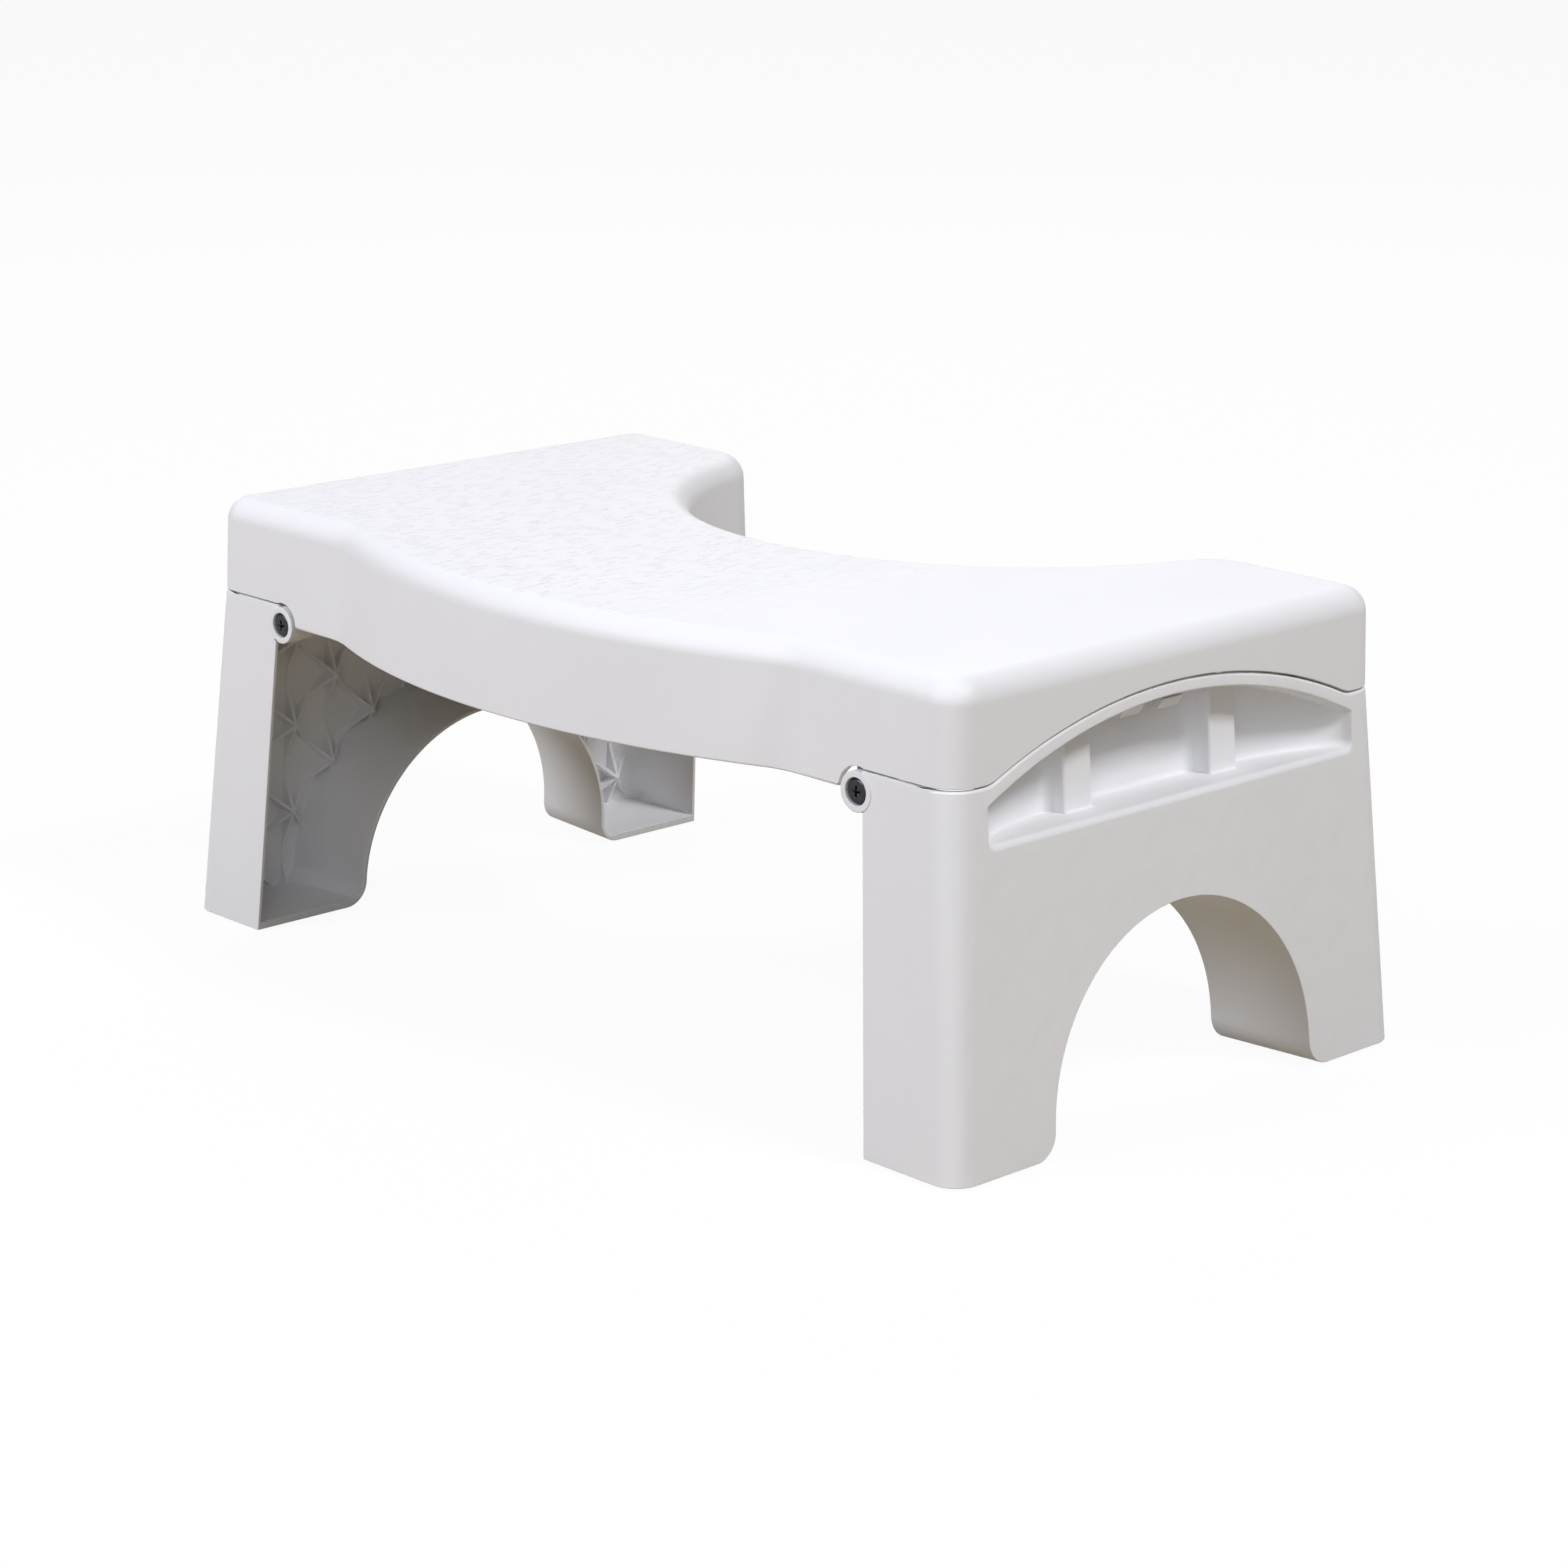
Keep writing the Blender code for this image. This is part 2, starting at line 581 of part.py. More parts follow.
def slanting_bars(floor, ceiling, depth):
    """Both families of slanting ribs through the lattice's nodes, clipped to the leg's inside.

    A rib's height at the leg's middle plane steps by two rises from one to the next. Each
    family stands a little lower than the one before, so that no two have tops in one plane.
    """
    rising_height = LATTICE_RIB_HEIGHT - LATTICE_RIB_STEP
    falling_height = rising_height - LATTICE_RIB_STEP
    slope = LATTICE_RISE / LATTICE_PITCH
    middle = LATTICE_BASE_HEIGHT
    lowest = floor - slope * depth
    while middle > lowest:
        middle -= 2 * LATTICE_RISE
    bars = []
    while middle < ceiling + slope * depth:
        start = max(-depth, (floor - middle) / slope)
        end = min(depth, (ceiling - middle) / slope)
        if end - start > LATTICE_PITCH:
            low = middle + slope * start
            high = middle + slope * end
            bars.append(lattice_bar((start, low), (end, high), rising_height))
            bars.append(lattice_bar((-end, high), (-start, low), falling_height))
        middle += 2 * LATTICE_RISE
    return bars


def leg_ears():
    """The leg's two round ears on the hinge axis."""
    outline = circle((HINGE_REACH, HINGE_HEIGHT), BOSS_RADIUS, BOSS_SIDES)
    ears = []
    for face in (-1, 1):
        near, away = sorted((face * EAR_BACK, face * EAR_FACE))
        ears.append(prism("ear", outline, 1, near, away))
    return ears


def pocket_posts():
    """Two posts on the pocket's back wall, from its floor to its ceiling."""
    start = POCKET_DEPTH - POST_DEPTH
    end = POCKET_DEPTH + LEG_WALL / 2
    low = HANDLE_SILL_HEIGHT - LEG_WALL / 2
    inner = (POST_SPACING - POST_WIDTH) / 2
    outer = (POST_SPACING + POST_WIDTH) / 2
    outline = [(inner, low), (outer, low), (outer, handle_crown(outer) + LEG_WALL / 2),
               (inner, handle_crown(inner) + LEG_WALL / 2)]
    return [face_prism("post", shape, start, end) for shape in (outline, mirrored(outline))]


def catch_window():
    """Opening in the pocket's ceiling and back wall that the platform's tongues reach through."""
    half_width = (TONGUE_SPACING + TONGUE_WIDTH) / 2 + TONGUE_CLEARANCE
    low = HANDLE_CROWN_HEIGHT - CATCH_WINDOW_DROP
    far = leg_reach(HANDLE_CROWN_HEIGHT) - CATCH_WINDOW_EDGE
    near = leg_reach(HANDLE_CROWN_HEIGHT) - POCKET_DEPTH - LEG_WALL - OVERRUN
    return box("catch_window", (near, -half_width, low), (far, half_width, CLEAR_HEIGHT))


def pad_outline(clearance):
    """Plan outline of one foot pad, anticlockwise, on the +Y foot."""
    inner = leg_inner_edge(0) + PAD_MARGIN - clearance
    outer = FOOT_REACH - PAD_MARGIN + clearance
    near = TUNNEL_RADIUS + FOOT_ROUNDING + PAD_MARGIN / 2 - clearance
    far = FOOT_HALF_DEPTH - PAD_MARGIN + clearance
    corner = PAD_CORNER
    return (arc((outer - corner, near + corner), corner, -QUARTER, 0, CORNER_STEPS)
            + arc((outer - corner, far - corner), corner, 0, QUARTER, CORNER_STEPS)
            + arc((inner + corner, far - corner), corner, QUARTER, HALF, CORNER_STEPS)
            + arc((inner + corner, near + corner), corner, HALF, HALF + QUARTER, CORNER_STEPS))


def flipped(outline):
    """The same plan outline on the -Y side, still anticlockwise."""
    return [(x, -y) for x, y in reversed(outline)]


def build_leg(name):
    """One leg, built in place on the +X side."""
    leg = loft(name, [leg_ring(PAD_PROUD, 0, 0), leg_ring(SEAM_HEIGHT, 0, 0),
                      leg_ring(CLEAR_HEIGHT, 0, 0)])
    floor = PAD_PROUD + FOOT_PLATE
    over = CLEAR_HEIGHT + OVERRUN
    void = loft("void", [leg_ring(floor, LEG_WALL, OVERRUN), leg_ring(SEAM_HEIGHT, LEG_WALL, OVERRUN),
                         leg_ring(over, LEG_WALL, OVERRUN)])
    housing = pocket_solid("housing", LEG_WALL, LEG_WALL / 2)
    combine(void, [tunnel_solid("tunnel_wall", LEG_WALL), housing] + leg_lattice(), "DIFFERENCE")
    side_room = FOOT_HALF_DEPTH + OVERRUN
    above = seam_profile(SEAM_GAP) + [(side_room, over), (-side_room, over)]
    far = FOOT_REACH + OVERRUN
    trim = prism("trim", above, 0, leg_inner_edge(SEAM_HEIGHT) - OVERRUN, far)
    pocket = pocket_solid("pocket", 0, -OVERRUN)
    combine(leg, [void, tunnel_solid("tunnel", 0), trim, pocket], "DIFFERENCE")
    combine(leg, leg_ears() + pocket_posts(), "UNION")
    cutters = [catch_window()]
    bore = circle((HINGE_REACH, HINGE_HEIGHT), SCREW_RADIUS + BORE_CLEARANCE, SCREW_SIDES)
    sink = circle((HINGE_REACH, HINGE_HEIGHT), COUNTERBORE_RADIUS, BOSS_SIDES)
    cutters.append(prism("bore", bore, 1, -side_room, side_room))
    for face in (-1, 1):
        low, high = sorted((face * (EAR_FACE - COUNTERBORE_DEPTH), face * side_room))
        cutters.append(prism("sink", sink, 1, low, high))
    recess = pad_outline(SEAT_GAP)
    for shape in (recess, flipped(recess)):
        cutters.append(prism("pad_recess", shape, 2, -OVERRUN, PAD_PROUD + PAD_RECESS))
    combine(leg, cutters, "DIFFERENCE")
    return leg


def build_pad(name, face):
    """One foot pad, in place under the +X leg."""
    outline = pad_outline(0)
    if face < 0:
        outline = flipped(outline)
    return prism(name, outline, 2, 0, PAD_PROUD + PAD_RECESS - SEAT_GAP)


def turned(name, profile, sides):
    """Solid of revolution about the Y axis through (radius, distance) pairs, flat at both ends."""
    rings = [[(x, distance, z) for x, z in circle((0, 0), radius, sides)]
             for radius, distance in profile]
    return loft(name, rings)


def build_screw(name):
    """Pan-head screw with a cross recess, its axis on Y and its head at the +Y end."""
    head = SCREW_SEAT + SCREW_HEAD_HEIGHT
    rim_centre = (SCREW_HEAD_RADIUS - SCREW_HEAD_DOME, head - SCREW_HEAD_DOME)
    profile = [(SCREW_RADIUS - SCREW_POINT, SCREW_END), (SCREW_RADIUS, SCREW_END + SCREW_POINT),
               (SCREW_RADIUS, SCREW_SEAT), (SCREW_HEAD_RADIUS, SCREW_SEAT)]
    profile += arc(rim_centre, SCREW_HEAD_DOME, 0, QUARTER, DOME_STEPS)
    screw = turned(name, profile, SCREW_SIDES)
    low, high = head - RECESS_DEPTH, head + OVERRUN
    long_side, short_side = RECESS_LENGTH / 2, RECESS_WIDTH / 2
    slots = [box("slot", (-long_side, low, -short_side), (long_side, high, short_side)),
             box("slot", (-short_side, low, -long_side), (short_side, high, long_side))]
    return combine(screw, slots, "DIFFERENCE")


def bored(blank):
    """Bore a washer or a nut out for the screw."""
    hole = circle((0, 0), SCREW_RADIUS + BORE_CLEARANCE, SCREW_SIDES)
    return combine(blank, [prism("hole", hole, 1, SCREW_END, SCREW_SEAT)], "DIFFERENCE")


def build_washer(name):
    """Plain washer on the inner face of the lug."""
    low = WASHER_FACE - WASHER_THICKNESS
    return bored(turned(name, [(WASHER_RADIUS, low), (WASHER_RADIUS, WASHER_FACE)], SCREW_SIDES))


def build_nut(name):
    """Lock nut: a hexagon with a round collar."""
    corner = NUT_ACROSS_FLATS / (2 * math.cos(HALF / NUT_SIDES))
    low = NUT_FACE - NUT_HEIGHT
    nut = prism(name, circle((0, 0), corner, NUT_SIDES), 1, low, NUT_FACE)
    collar = turned("collar", [(NUT_COLLAR_RADIUS, NUT_BACK), (NUT_COLLAR_RADIUS, low + SEAT_GAP)],
                    SCREW_SIDES)
    combine(nut, [collar], "UNION")
    return bored(nut)


def move_mesh(scene_object, offset):
    """Move a piece's points, and leave its origin where it is."""
    for vertex in scene_object.data.vertices:
        vertex.co += offset


def empty(name, location, turn=0, parent=None):
    """Unseen frame that carries pieces."""
    frame = bpy.data.objects.new(name, None)
    frame.location = location
    frame.rotation_euler = (0, 0, turn)
    frame.parent = parent
    bpy.context.scene.collection.objects.link(frame)
    return frame


def place_copy(name, source, parent, material, turn=0):
    """Object of its own that shares the source's mesh, carried and turned by its parent."""
    copy = bpy.data.objects.new(name, source.data)
    copy.parent = parent
    copy.rotation_euler = (0, 0, turn)
    bpy.context.scene.collection.objects.link(copy)
    copy.material_slots[0].link = "OBJECT"
    copy.material_slots[0].material = material
    return copy


def build_stool():
    """All pieces, on their frames and hinges."""
    clear_scene()
    leg_white = (0.80, 0.80, 0.81)
    steel = (0.30, 0.30, 0.31)
    stool_frame = empty("stool_frame", (0, FRAME_SHIFT, 0))
    platform = build_platform()
    finish(platform, moulded_material("platform_polypropylene", (0.84, 0.84, 0.85), 0.42))
    platform.parent = stool_frame
    hinge_offset = Vector((-HINGE_REACH, 0, -HINGE_HEIGHT))
    patterns = {"leg": build_leg("leg_pattern"),
                "foot_pad_front": build_pad("pad_front_pattern", -1),
                "foot_pad_back": build_pad("pad_back_pattern", 1)}
    for pattern in patterns.values():
        move_mesh(pattern, hinge_offset)
    patterns.update(screw=build_screw("screw_pattern"), washer=build_washer("washer_pattern"),
                    nut=build_nut("nut_pattern"))
    blank = moulded_material("blank", leg_white, 0.45)
    for pattern in patterns.values():
        finish(pattern, blank)
    for side, turn in (("right", 0), ("left", HALF)):
        reach = HINGE_REACH if side == "right" else -HINGE_REACH
        hinge = empty(side + "_hinge", (reach, 0, HINGE_HEIGHT), turn, stool_frame)
        place_copy(side + "_leg", patterns["leg"], hinge,
                   moulded_material(side + "_leg_polypropylene", leg_white, 0.45))
        for face in ("front", "back"):
            name = "_" + side + "_" + face
            near = "front" if (face == "front") == (side == "right") else "back"
            rubber = moulded_material("pad_rubber" + name, (0.62, 0.62, 0.62), 0.8)
            place_copy("foot_pad" + name, patterns["foot_pad_" + near], hinge, rubber)
            about = HALF if face == "front" else 0
            axle = empty("axle" + name, (reach, 0, HINGE_HEIGHT), about, stool_frame)
            for kind in ("screw", "washer", "nut"):
                metal = moulded_material(kind + "_steel" + name, steel, 0.35, 1.0)
                place_copy("pivot_" + kind + name, patterns[kind], axle, metal)
    for pattern in patterns.values():
        bpy.data.objects.remove(pattern, do_unlink=True)


build_stool()
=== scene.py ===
"""Folding footstool to stand in front of a toilet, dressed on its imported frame.

One platform and two legs of injection-moulded polypropylene, four pivot screws with their
washers and lock nuts, and four rubber foot pads. Every piece here stands for the node of the
frame that it names and rides on that node's body, so that the legs fold on their hinges.

Metres. X runs along the stool, -Y is its bulged front, +Y the side with the round cut-out and
+Z is up. Shapes are worked out about the plane that halves the legs and then set back by
FRAME_SHIFT, because the frame's origin is under the middle of the stool's box.
"""

import json
import logging
import math
from dataclasses import dataclass, field
from enum import Enum
from typing import Callable, Mapping, Optional, Sequence, Union

import bmesh
import bpy
import numpy as np
from mathutils import Matrix


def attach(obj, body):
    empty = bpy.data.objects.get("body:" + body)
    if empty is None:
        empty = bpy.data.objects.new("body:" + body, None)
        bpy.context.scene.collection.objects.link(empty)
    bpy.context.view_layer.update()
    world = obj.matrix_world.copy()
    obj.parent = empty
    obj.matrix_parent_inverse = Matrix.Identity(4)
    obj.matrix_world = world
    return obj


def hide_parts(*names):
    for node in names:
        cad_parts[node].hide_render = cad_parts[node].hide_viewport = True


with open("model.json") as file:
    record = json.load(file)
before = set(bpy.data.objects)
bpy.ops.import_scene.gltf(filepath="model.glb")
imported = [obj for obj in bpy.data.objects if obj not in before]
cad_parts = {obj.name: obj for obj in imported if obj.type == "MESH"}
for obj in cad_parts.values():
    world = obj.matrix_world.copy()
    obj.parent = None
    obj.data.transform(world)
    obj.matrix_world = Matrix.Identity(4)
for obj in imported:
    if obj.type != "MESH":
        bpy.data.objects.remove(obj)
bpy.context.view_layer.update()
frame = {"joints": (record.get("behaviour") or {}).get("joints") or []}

LOG = logging.getLogger("footstool")

Points = np.ndarray

# Parts of a turn.
QUARTER = math.pi / 2
HALF = math.pi
FULL = 2 * math.pi

# How far a cutter runs past what it cuts.
OVERRUN = 0.004

# Distance below which points are one, and those within which a point lies on an edge or a face.
MERGE = 0.00001
ON_EDGE = 0.0001
ON_FACE = 0.0004

# Angle below which two faces lie in one plane, and most corners of a face that stays whole.
FLAT = math.radians(0.05)
LONG_FACE = 24

# Weight of a large face over a small one in the shading, out of 100.
FACE_LEAD = 90

# Where the plane that halves the legs lies in the frame, which the hinges' place gives.
FRAME_SHIFT = float(frame["joints"][0]["pos_m"][1])


class Side(Enum):
    """End of the stool, by the turn about Z that brings the right leg's shape there."""

    RIGHT = 0.0
    LEFT = math.pi

    @property
    def word(self) -> str:
        """Name of the side as the frame's nodes spell it."""
        return self.name.lower()

    @property
    def sign(self) -> int:
        """Sign of X on this side."""
        return 1 if self is Side.RIGHT else -1


class Face(Enum):
    """Long side of the stool, by the sign of Y."""

    FRONT = -1
    BACK = 1

    @property
    def word(self) -> str:
        """Name of the face as the frame's nodes spell it."""
        return self.name.lower()


@dataclass(frozen=True)
class Sizes:
    """Sizes that the platform and the legs share.

    Attributes:
        height: Top of the platform above the floor.
        half_length: Half the platform along X, at the seam.
        half_depth: Half the platform along Y beside the bulge, at the seam.
        corner: Plan radius of the platform's corners.
        seam: Height of the seam over the legs' corners.
        notch_span: Half the width of the seam's arch.
        notch_rise: Rise of the seam's arch.
        notch_blend: Radius that leads the arch into the level seam.
        hinge_drop: Depth of the hinge axis below the seam.
        boss: Radius of the ears about the hinge axis.
        boss_gap: Air round an ear in the platform's notch.
        hinge_reach: Distance of the hinge axis from the middle.
        wall: Thickness of the legs' and the skirt's walls.
        ear: Thickness of an ear.
        ear_proud: How far an ear stands out of its flange.
        lug: Thickness of the platform's lug behind an ear.
        lug_gap: Air between ear and lug.
        sink: Radius of the counterbore.
        sink_depth: Depth of the counterbore.
        shank: Radius of the screw.
        bore_gap: Air round the screw in its bores.
        seat_gap: Air between two pieces that lie on each other.
        leg_splay: How much further out a foot stands than the seam.
        leg_side_splay: The same along Y.
        handle_crown: Height of the finger pocket's crown.
        tongue: Width, spacing and thickness of the catch tongues.
        tongue_gap: Air beside the tongues in the leg's catch window.
    """

    height: float = 0.1715
    half_length: float = 0.2030
    half_depth: float = 0.1114
    corner: float = 0.013
    seam: float = 0.1351
    notch_span: float = 0.093
    notch_rise: float = 0.020
    notch_blend: float = 0.012
    hinge_drop: float = 0.0082
    boss: float = 0.0072
    boss_gap: float = 0.0015
    hinge_reach: float = 0.1588
    wall: float = 0.0028
    ear: float = 0.0069
    ear_proud: float = 0.0004
    lug: float = 0.0045
    lug_gap: float = 0.0004
    sink: float = 0.0049
    sink_depth: float = 0.0045
    shank: float = 0.0025
    bore_gap: float = 0.0003
    seat_gap: float = 0.0003
    leg_splay: float = 0.0113
    leg_side_splay: float = 0.0064
    handle_crown: float = 0.1498
    tongue: tuple[float, float, float] = (0.0105, 0.0200, 0.0028)
    tongue_gap: float = 0.0015

    @property
    def hinge(self) -> float:
        """Height of the hinge axis."""
        return self.seam - self.hinge_drop

    @property
    def ear_face(self) -> float:
        """Distance of an ear's outer face from the middle plane."""
        splay = self.leg_side_splay * self.hinge_drop / self.seam
        return self.half_depth + splay + self.ear_proud

    @property
    def lug_face(self) -> float:
        """Distance of a lug's outer face from the middle plane."""
        return self.ear_face - self.ear - self.lug_gap

    @property
    def lug_back(self) -> float:
        """Distance of a lug's inner face from the middle plane."""
        return self.lug_face - self.lug

    @property
    def screw_seat(self) -> float:
        """Distance of the underside of a screw's head from the middle plane."""
        return self.ear_face - self.sink_depth + self.seat_gap

    @property
    def clear_height(self) -> float:
        """Height that is above every point of the seam."""
        return self.seam + self.notch_rise + OVERRUN

    def leg_reach(self, height: Points) -> Points:
        """Distance of a leg's leaning outer face from the middle, at a height."""
        return self.half_length + self.leg_splay / self.seam * (self.seam - height)

    def seam_line(self, drop: float) -> Points:
        """Seam seen along X: level at both sides, with an arch that blends into them.

        Args:
            drop: How far the line is lowered.

        Returns:
            Points (y, z), from -Y to +Y.
        """
        full = (self.notch_span ** 2 + self.notch_rise ** 2) / (2 * self.notch_rise)
        centre = self.seam + self.notch_rise - full
        radius, blend = full - drop, self.notch_blend + drop
        blend_height = self.seam + self.notch_blend
        climb = blend_height - centre
        reach = math.sqrt((radius + blend) ** 2 - climb ** 2)
        slope = math.atan2(climb, reach)
        arch = arc((0, centre), radius, slope, HALF - slope, 72)
        ease = arc((reach, blend_height), blend, -QUARTER, slope - HALF, 10)
        end = (self.half_depth + self.leg_side_splay + OVERRUN, self.seam - drop)
        right = np.vstack([[end], ease])
        return np.vstack([right, arch[1:-1], mirrored(right)])[::-1]


# Outlines and skins


def arc(centre: Sequence[float], radius: float, start: float, end: float, steps: int) -> Points:
    """Arc in a plane: centre + radius * (cos a, sin a), with a even from start to end.

    Args:
        centre: Middle of the arc.
        radius: Its radius.
        start: First angle.
        end: Last angle.
        steps: Number of chords.

    Returns:
        Points, both ends included, one a row.
    """
    angle = np.linspace(start, end, steps + 1)
    return np.column_stack([centre[0] + radius * np.cos(angle),
                            centre[1] + radius * np.sin(angle)])


def disc(centre: Sequence[float], radius: float, sides: int) -> Points:
    """Whole circle as an outline: centre + radius * (cos a, sin a)."""
    return arc(centre, radius, 0, FULL, sides)[:-1]


def span(sign: int, near: float, away: float) -> list[float]:
    """Two distances on one side of a middle plane as places, the lower one first."""
    return sorted((sign * near, sign * away))


def mirrored(points: Points) -> Points:
    """The same points with the first coordinate turned over, in the opposite order."""
    return points[::-1] * (-1.0, 1.0)


def flipped(points: Points) -> Points:
    """The same points with the second coordinate turned over, in the opposite order."""
    return points[::-1] * (1.0, -1.0)


def ring(outline: Points, height: float) -> Points:
    """Plan outline at a height, as points in space."""
    return np.column_stack([outline, np.full(len(outline), height)])


def add_mesh(name: str, points: Points, faces: Sequence[Sequence[int]]) -> bpy.types.Object:
    """Object of a closed mesh, its doubled points merged and its faces turned outwards.

    Args:
        name: Name of the object.
        points: Places of the points, one a row.
        faces: Indices of each face's points.

    Returns:
        The object, linked to the scene.
    """
    mesh = bpy.data.meshes.new(name)
    mesh.from_pydata(points.tolist(), [], faces)
    data = bmesh.new()
    data.from_mesh(mesh)
    bmesh.ops.remove_doubles(data, verts=data.verts, dist=MERGE / 10)
    bmesh.ops.recalc_face_normals(data, faces=data.faces)
    data.to_mesh(mesh)
    data.free()
    piece = bpy.data.objects.new(name, mesh)
    bpy.context.scene.collection.objects.link(piece)
    return piece


def grid_faces(rings: int, around: int, closed: bool) -> list[list[int]]:
    """Quads between neighbouring rings of a grid whose points go round.

    Args:
        rings: Number of rings.
        around: Points in a ring.
        closed: Whether the last ring joins the first, otherwise each gets a flat end.

    Returns:
        Faces as lists of indices.
    """
    low = np.arange(rings if closed else rings - 1)[:, None] * around
    high = (low + around) % (rings * around)
    here = np.arange(around)[None, :]
    after = (here + 1) % around
    quads = np.stack([low + here, low + after, high + after, high + here], axis=-1)
    faces = quads.reshape(-1, 4).tolist()
    if not closed:
        faces += [list(range(around))[::-1], list(range((rings - 1) * around, rings * around))]
    return faces


def skin(name: str, rings: Sequence[Points], closed: bool = False) -> bpy.types.Object:
    """Closed skin through rings of as many points each: a grid of ring by place in the ring."""
    grid = np.stack(rings)
    return add_mesh(name, grid.reshape(-1, 3), grid_faces(grid.shape[0], grid.shape[1], closed))


def prism(name: str, outline: Points, axis: int, start: float, end: float) -> bpy.types.Object:
    """Outline carried straight along an axis; it is drawn in the other two, in X, Y, Z order."""
    return skin(name, [np.insert(outline, axis, place, axis=1) for place in (start, end)])


def box(name: str, low: Sequence[float], high: Sequence[float]) -> bpy.types.Object:
    """Box between two corners, as a plan rectangle carried up."""
    plan = np.array([(low[0], low[1]), (high[0], low[1]), (high[0], high[1]), (low[0], high[1])])
    return prism(name, plan, 2, low[2], high[2])


def combine(base: bpy.types.Object, others: Sequence[bpy.types.Object],
            operation: str) -> bpy.types.Object:
    """Cut, join or intersect a solid with others one by one, and remove the others.

    Args:
        base: Solid that keeps the result.
        others: Solids that are used up.
        operation: DIFFERENCE, UNION or INTERSECT.

    Returns:
        The base.
    """
    for other in others:
        modifier = base.modifiers.new("combine", "BOOLEAN")
        modifier.operation = operation
        modifier.solver = "EXACT"
        modifier.object = other
        result = bpy.data.meshes.new_from_object(
            base.evaluated_get(bpy.context.evaluated_depsgraph_get()))
        base.modifiers.clear()
        spent, base.data = base.data, result
        bpy.data.meshes.remove(spent)
        bpy.data.objects.remove(other, do_unlink=True)
    return base


def read_points(mesh: bpy.types.Mesh) -> Points:
    """Places of a mesh's points, one a row."""
    flat = np.empty(len(mesh.vertices) * 3)
    mesh.vertices.foreach_get("co", flat)
    return flat.reshape(-1, 3)


def write_points(mesh: bpy.types.Mesh, points: Points) -> None:
    """Put places back into a mesh's points."""
    mesh.vertices.foreach_set("co", points.ravel())
    mesh.update()


def tidy(piece: bpy.types.Object) -> None:
    """Merge doubled points and join faces that lie in one plane, so that edges round cleanly.

    A long face that runs round an opening, such as the skirt's rim, is cut into triangles
    across its own width, because a rounded one could fill the opening.

    Args:
        piece: Piece whose mesh is cleaned.
    """
    data = bmesh.new()
    data.from_mesh(piece.data)
    bmesh.ops.remove_doubles(data, verts=data.verts, dist=MERGE)
    bmesh.ops.dissolve_degenerate(data, dist=MERGE, edges=data.edges)
    bmesh.ops.dissolve_limit(data, angle_limit=FLAT, use_dissolve_boundaries=False,
                             verts=data.verts, edges=data.edges, delimit={"NORMAL"})
    winding = [face for face in data.faces if len(face.verts) > LONG_FACE]
    bmesh.ops.triangulate(data, faces=winding)
    data.to_mesh(piece.data)
    data.free()


@dataclass(frozen=True)
class Rounding:
    """Radius for the sharp edges whose two ends pass a test on their places.

    Attributes:
        radius: The radius, zero for edges that stay sharp.
        test: Test of the places, or none for every edge.
    """

    radius: float
    test: Optional[Callable[[Points], Points]] = None


def sharpness(mesh: bpy.types.Mesh) -> Points:
    """Angle between the two faces at each edge: the arc cosine of their normals' product.

    Args:
        mesh: Closed mesh.

    Returns:
        An angle for each edge, zero where it doesn't have two faces.
    """
    edge_of_loop = np.empty(len(mesh.loops), dtype=np.int64)
    mesh.loops.foreach_get("edge_index", edge_of_loop)
    total = np.empty(len(mesh.polygons), dtype=np.int64)
    mesh.polygons.foreach_get("loop_total", total)
    normal = np.empty(len(mesh.polygons) * 3)
    mesh.polygons.foreach_get("normal", normal)
    normal = np.repeat(normal.reshape(-1, 3), total, axis=0)
    order = np.argsort(edge_of_loop, kind="stable")
    edge, first = np.unique(edge_of_loop[order], return_index=True)
    count = np.diff(np.append(first, len(order)))
    paired = count == 2
    near = normal[order[first[paired]]]
    away = normal[order[first[paired] + 1]]
    angle = np.zeros(len(mesh.edges))
    angle[edge[paired]] = np.arccos(np.clip(np.sum(near * away, axis=1), -1, 1))
    return angle


def round_edges(piece: bpy.types.Object, roundings: Sequence[Rounding], segments: int = 3,
                least_angle: float = 32) -> None:
    """Round a piece's sharp edges and let its large faces lead the shading.

    An edge's bevel weight is its own radius as a share of the largest one, and a sharp edge
    whose radius is zero stays sharp in the shading too.

    Args:
        piece: Piece to finish.
        roundings: Radii, from the general one to the particular ones, which win.
        segments: Facets across a rounding.
        least_angle: Degrees between two faces from which their edge is sharp.
    """
    mesh = piece.data
    points = read_points(mesh)
    ends = np.empty(len(mesh.edges) * 2, dtype=np.int64)
    mesh.edges.foreach_get("vertices", ends)
    ends = ends.reshape(-1, 2)
    radius = np.zeros(len(mesh.edges))
    for rounding in roundings:
        chosen = np.ones(len(mesh.edges), dtype=bool)
        if rounding.test is not None:
            passed = rounding.test(points)
            chosen = passed[ends[:, 0]] & passed[ends[:, 1]]
        radius[chosen] = rounding.radius
    largest = max(rounding.radius for rounding in roundings)
    sharp = sharpness(mesh) > math.radians(least_angle)
    weight = np.where(sharp, radius / largest, 0)
    mesh.attributes.new("bevel_weight_edge", "FLOAT", "EDGE").data.foreach_set("value", weight)
    bevel = piece.modifiers.new("Rounded edges", "BEVEL")
    bevel.limit_method = "WEIGHT"
    bevel.width = largest
    bevel.segments = segments
    bevel.use_clamp_overlap = False
    bevel.loop_slide = False
    shading = piece.modifiers.new("Shading from the large faces", "WEIGHTED_NORMAL")
    shading.mode = "FACE_AREA"
    shading.weight = FACE_LEAD
    shading.keep_sharp = True
    mesh.shade_smooth()
    mesh.edges.foreach_set("use_edge_sharp", sharp & (radius == 0))


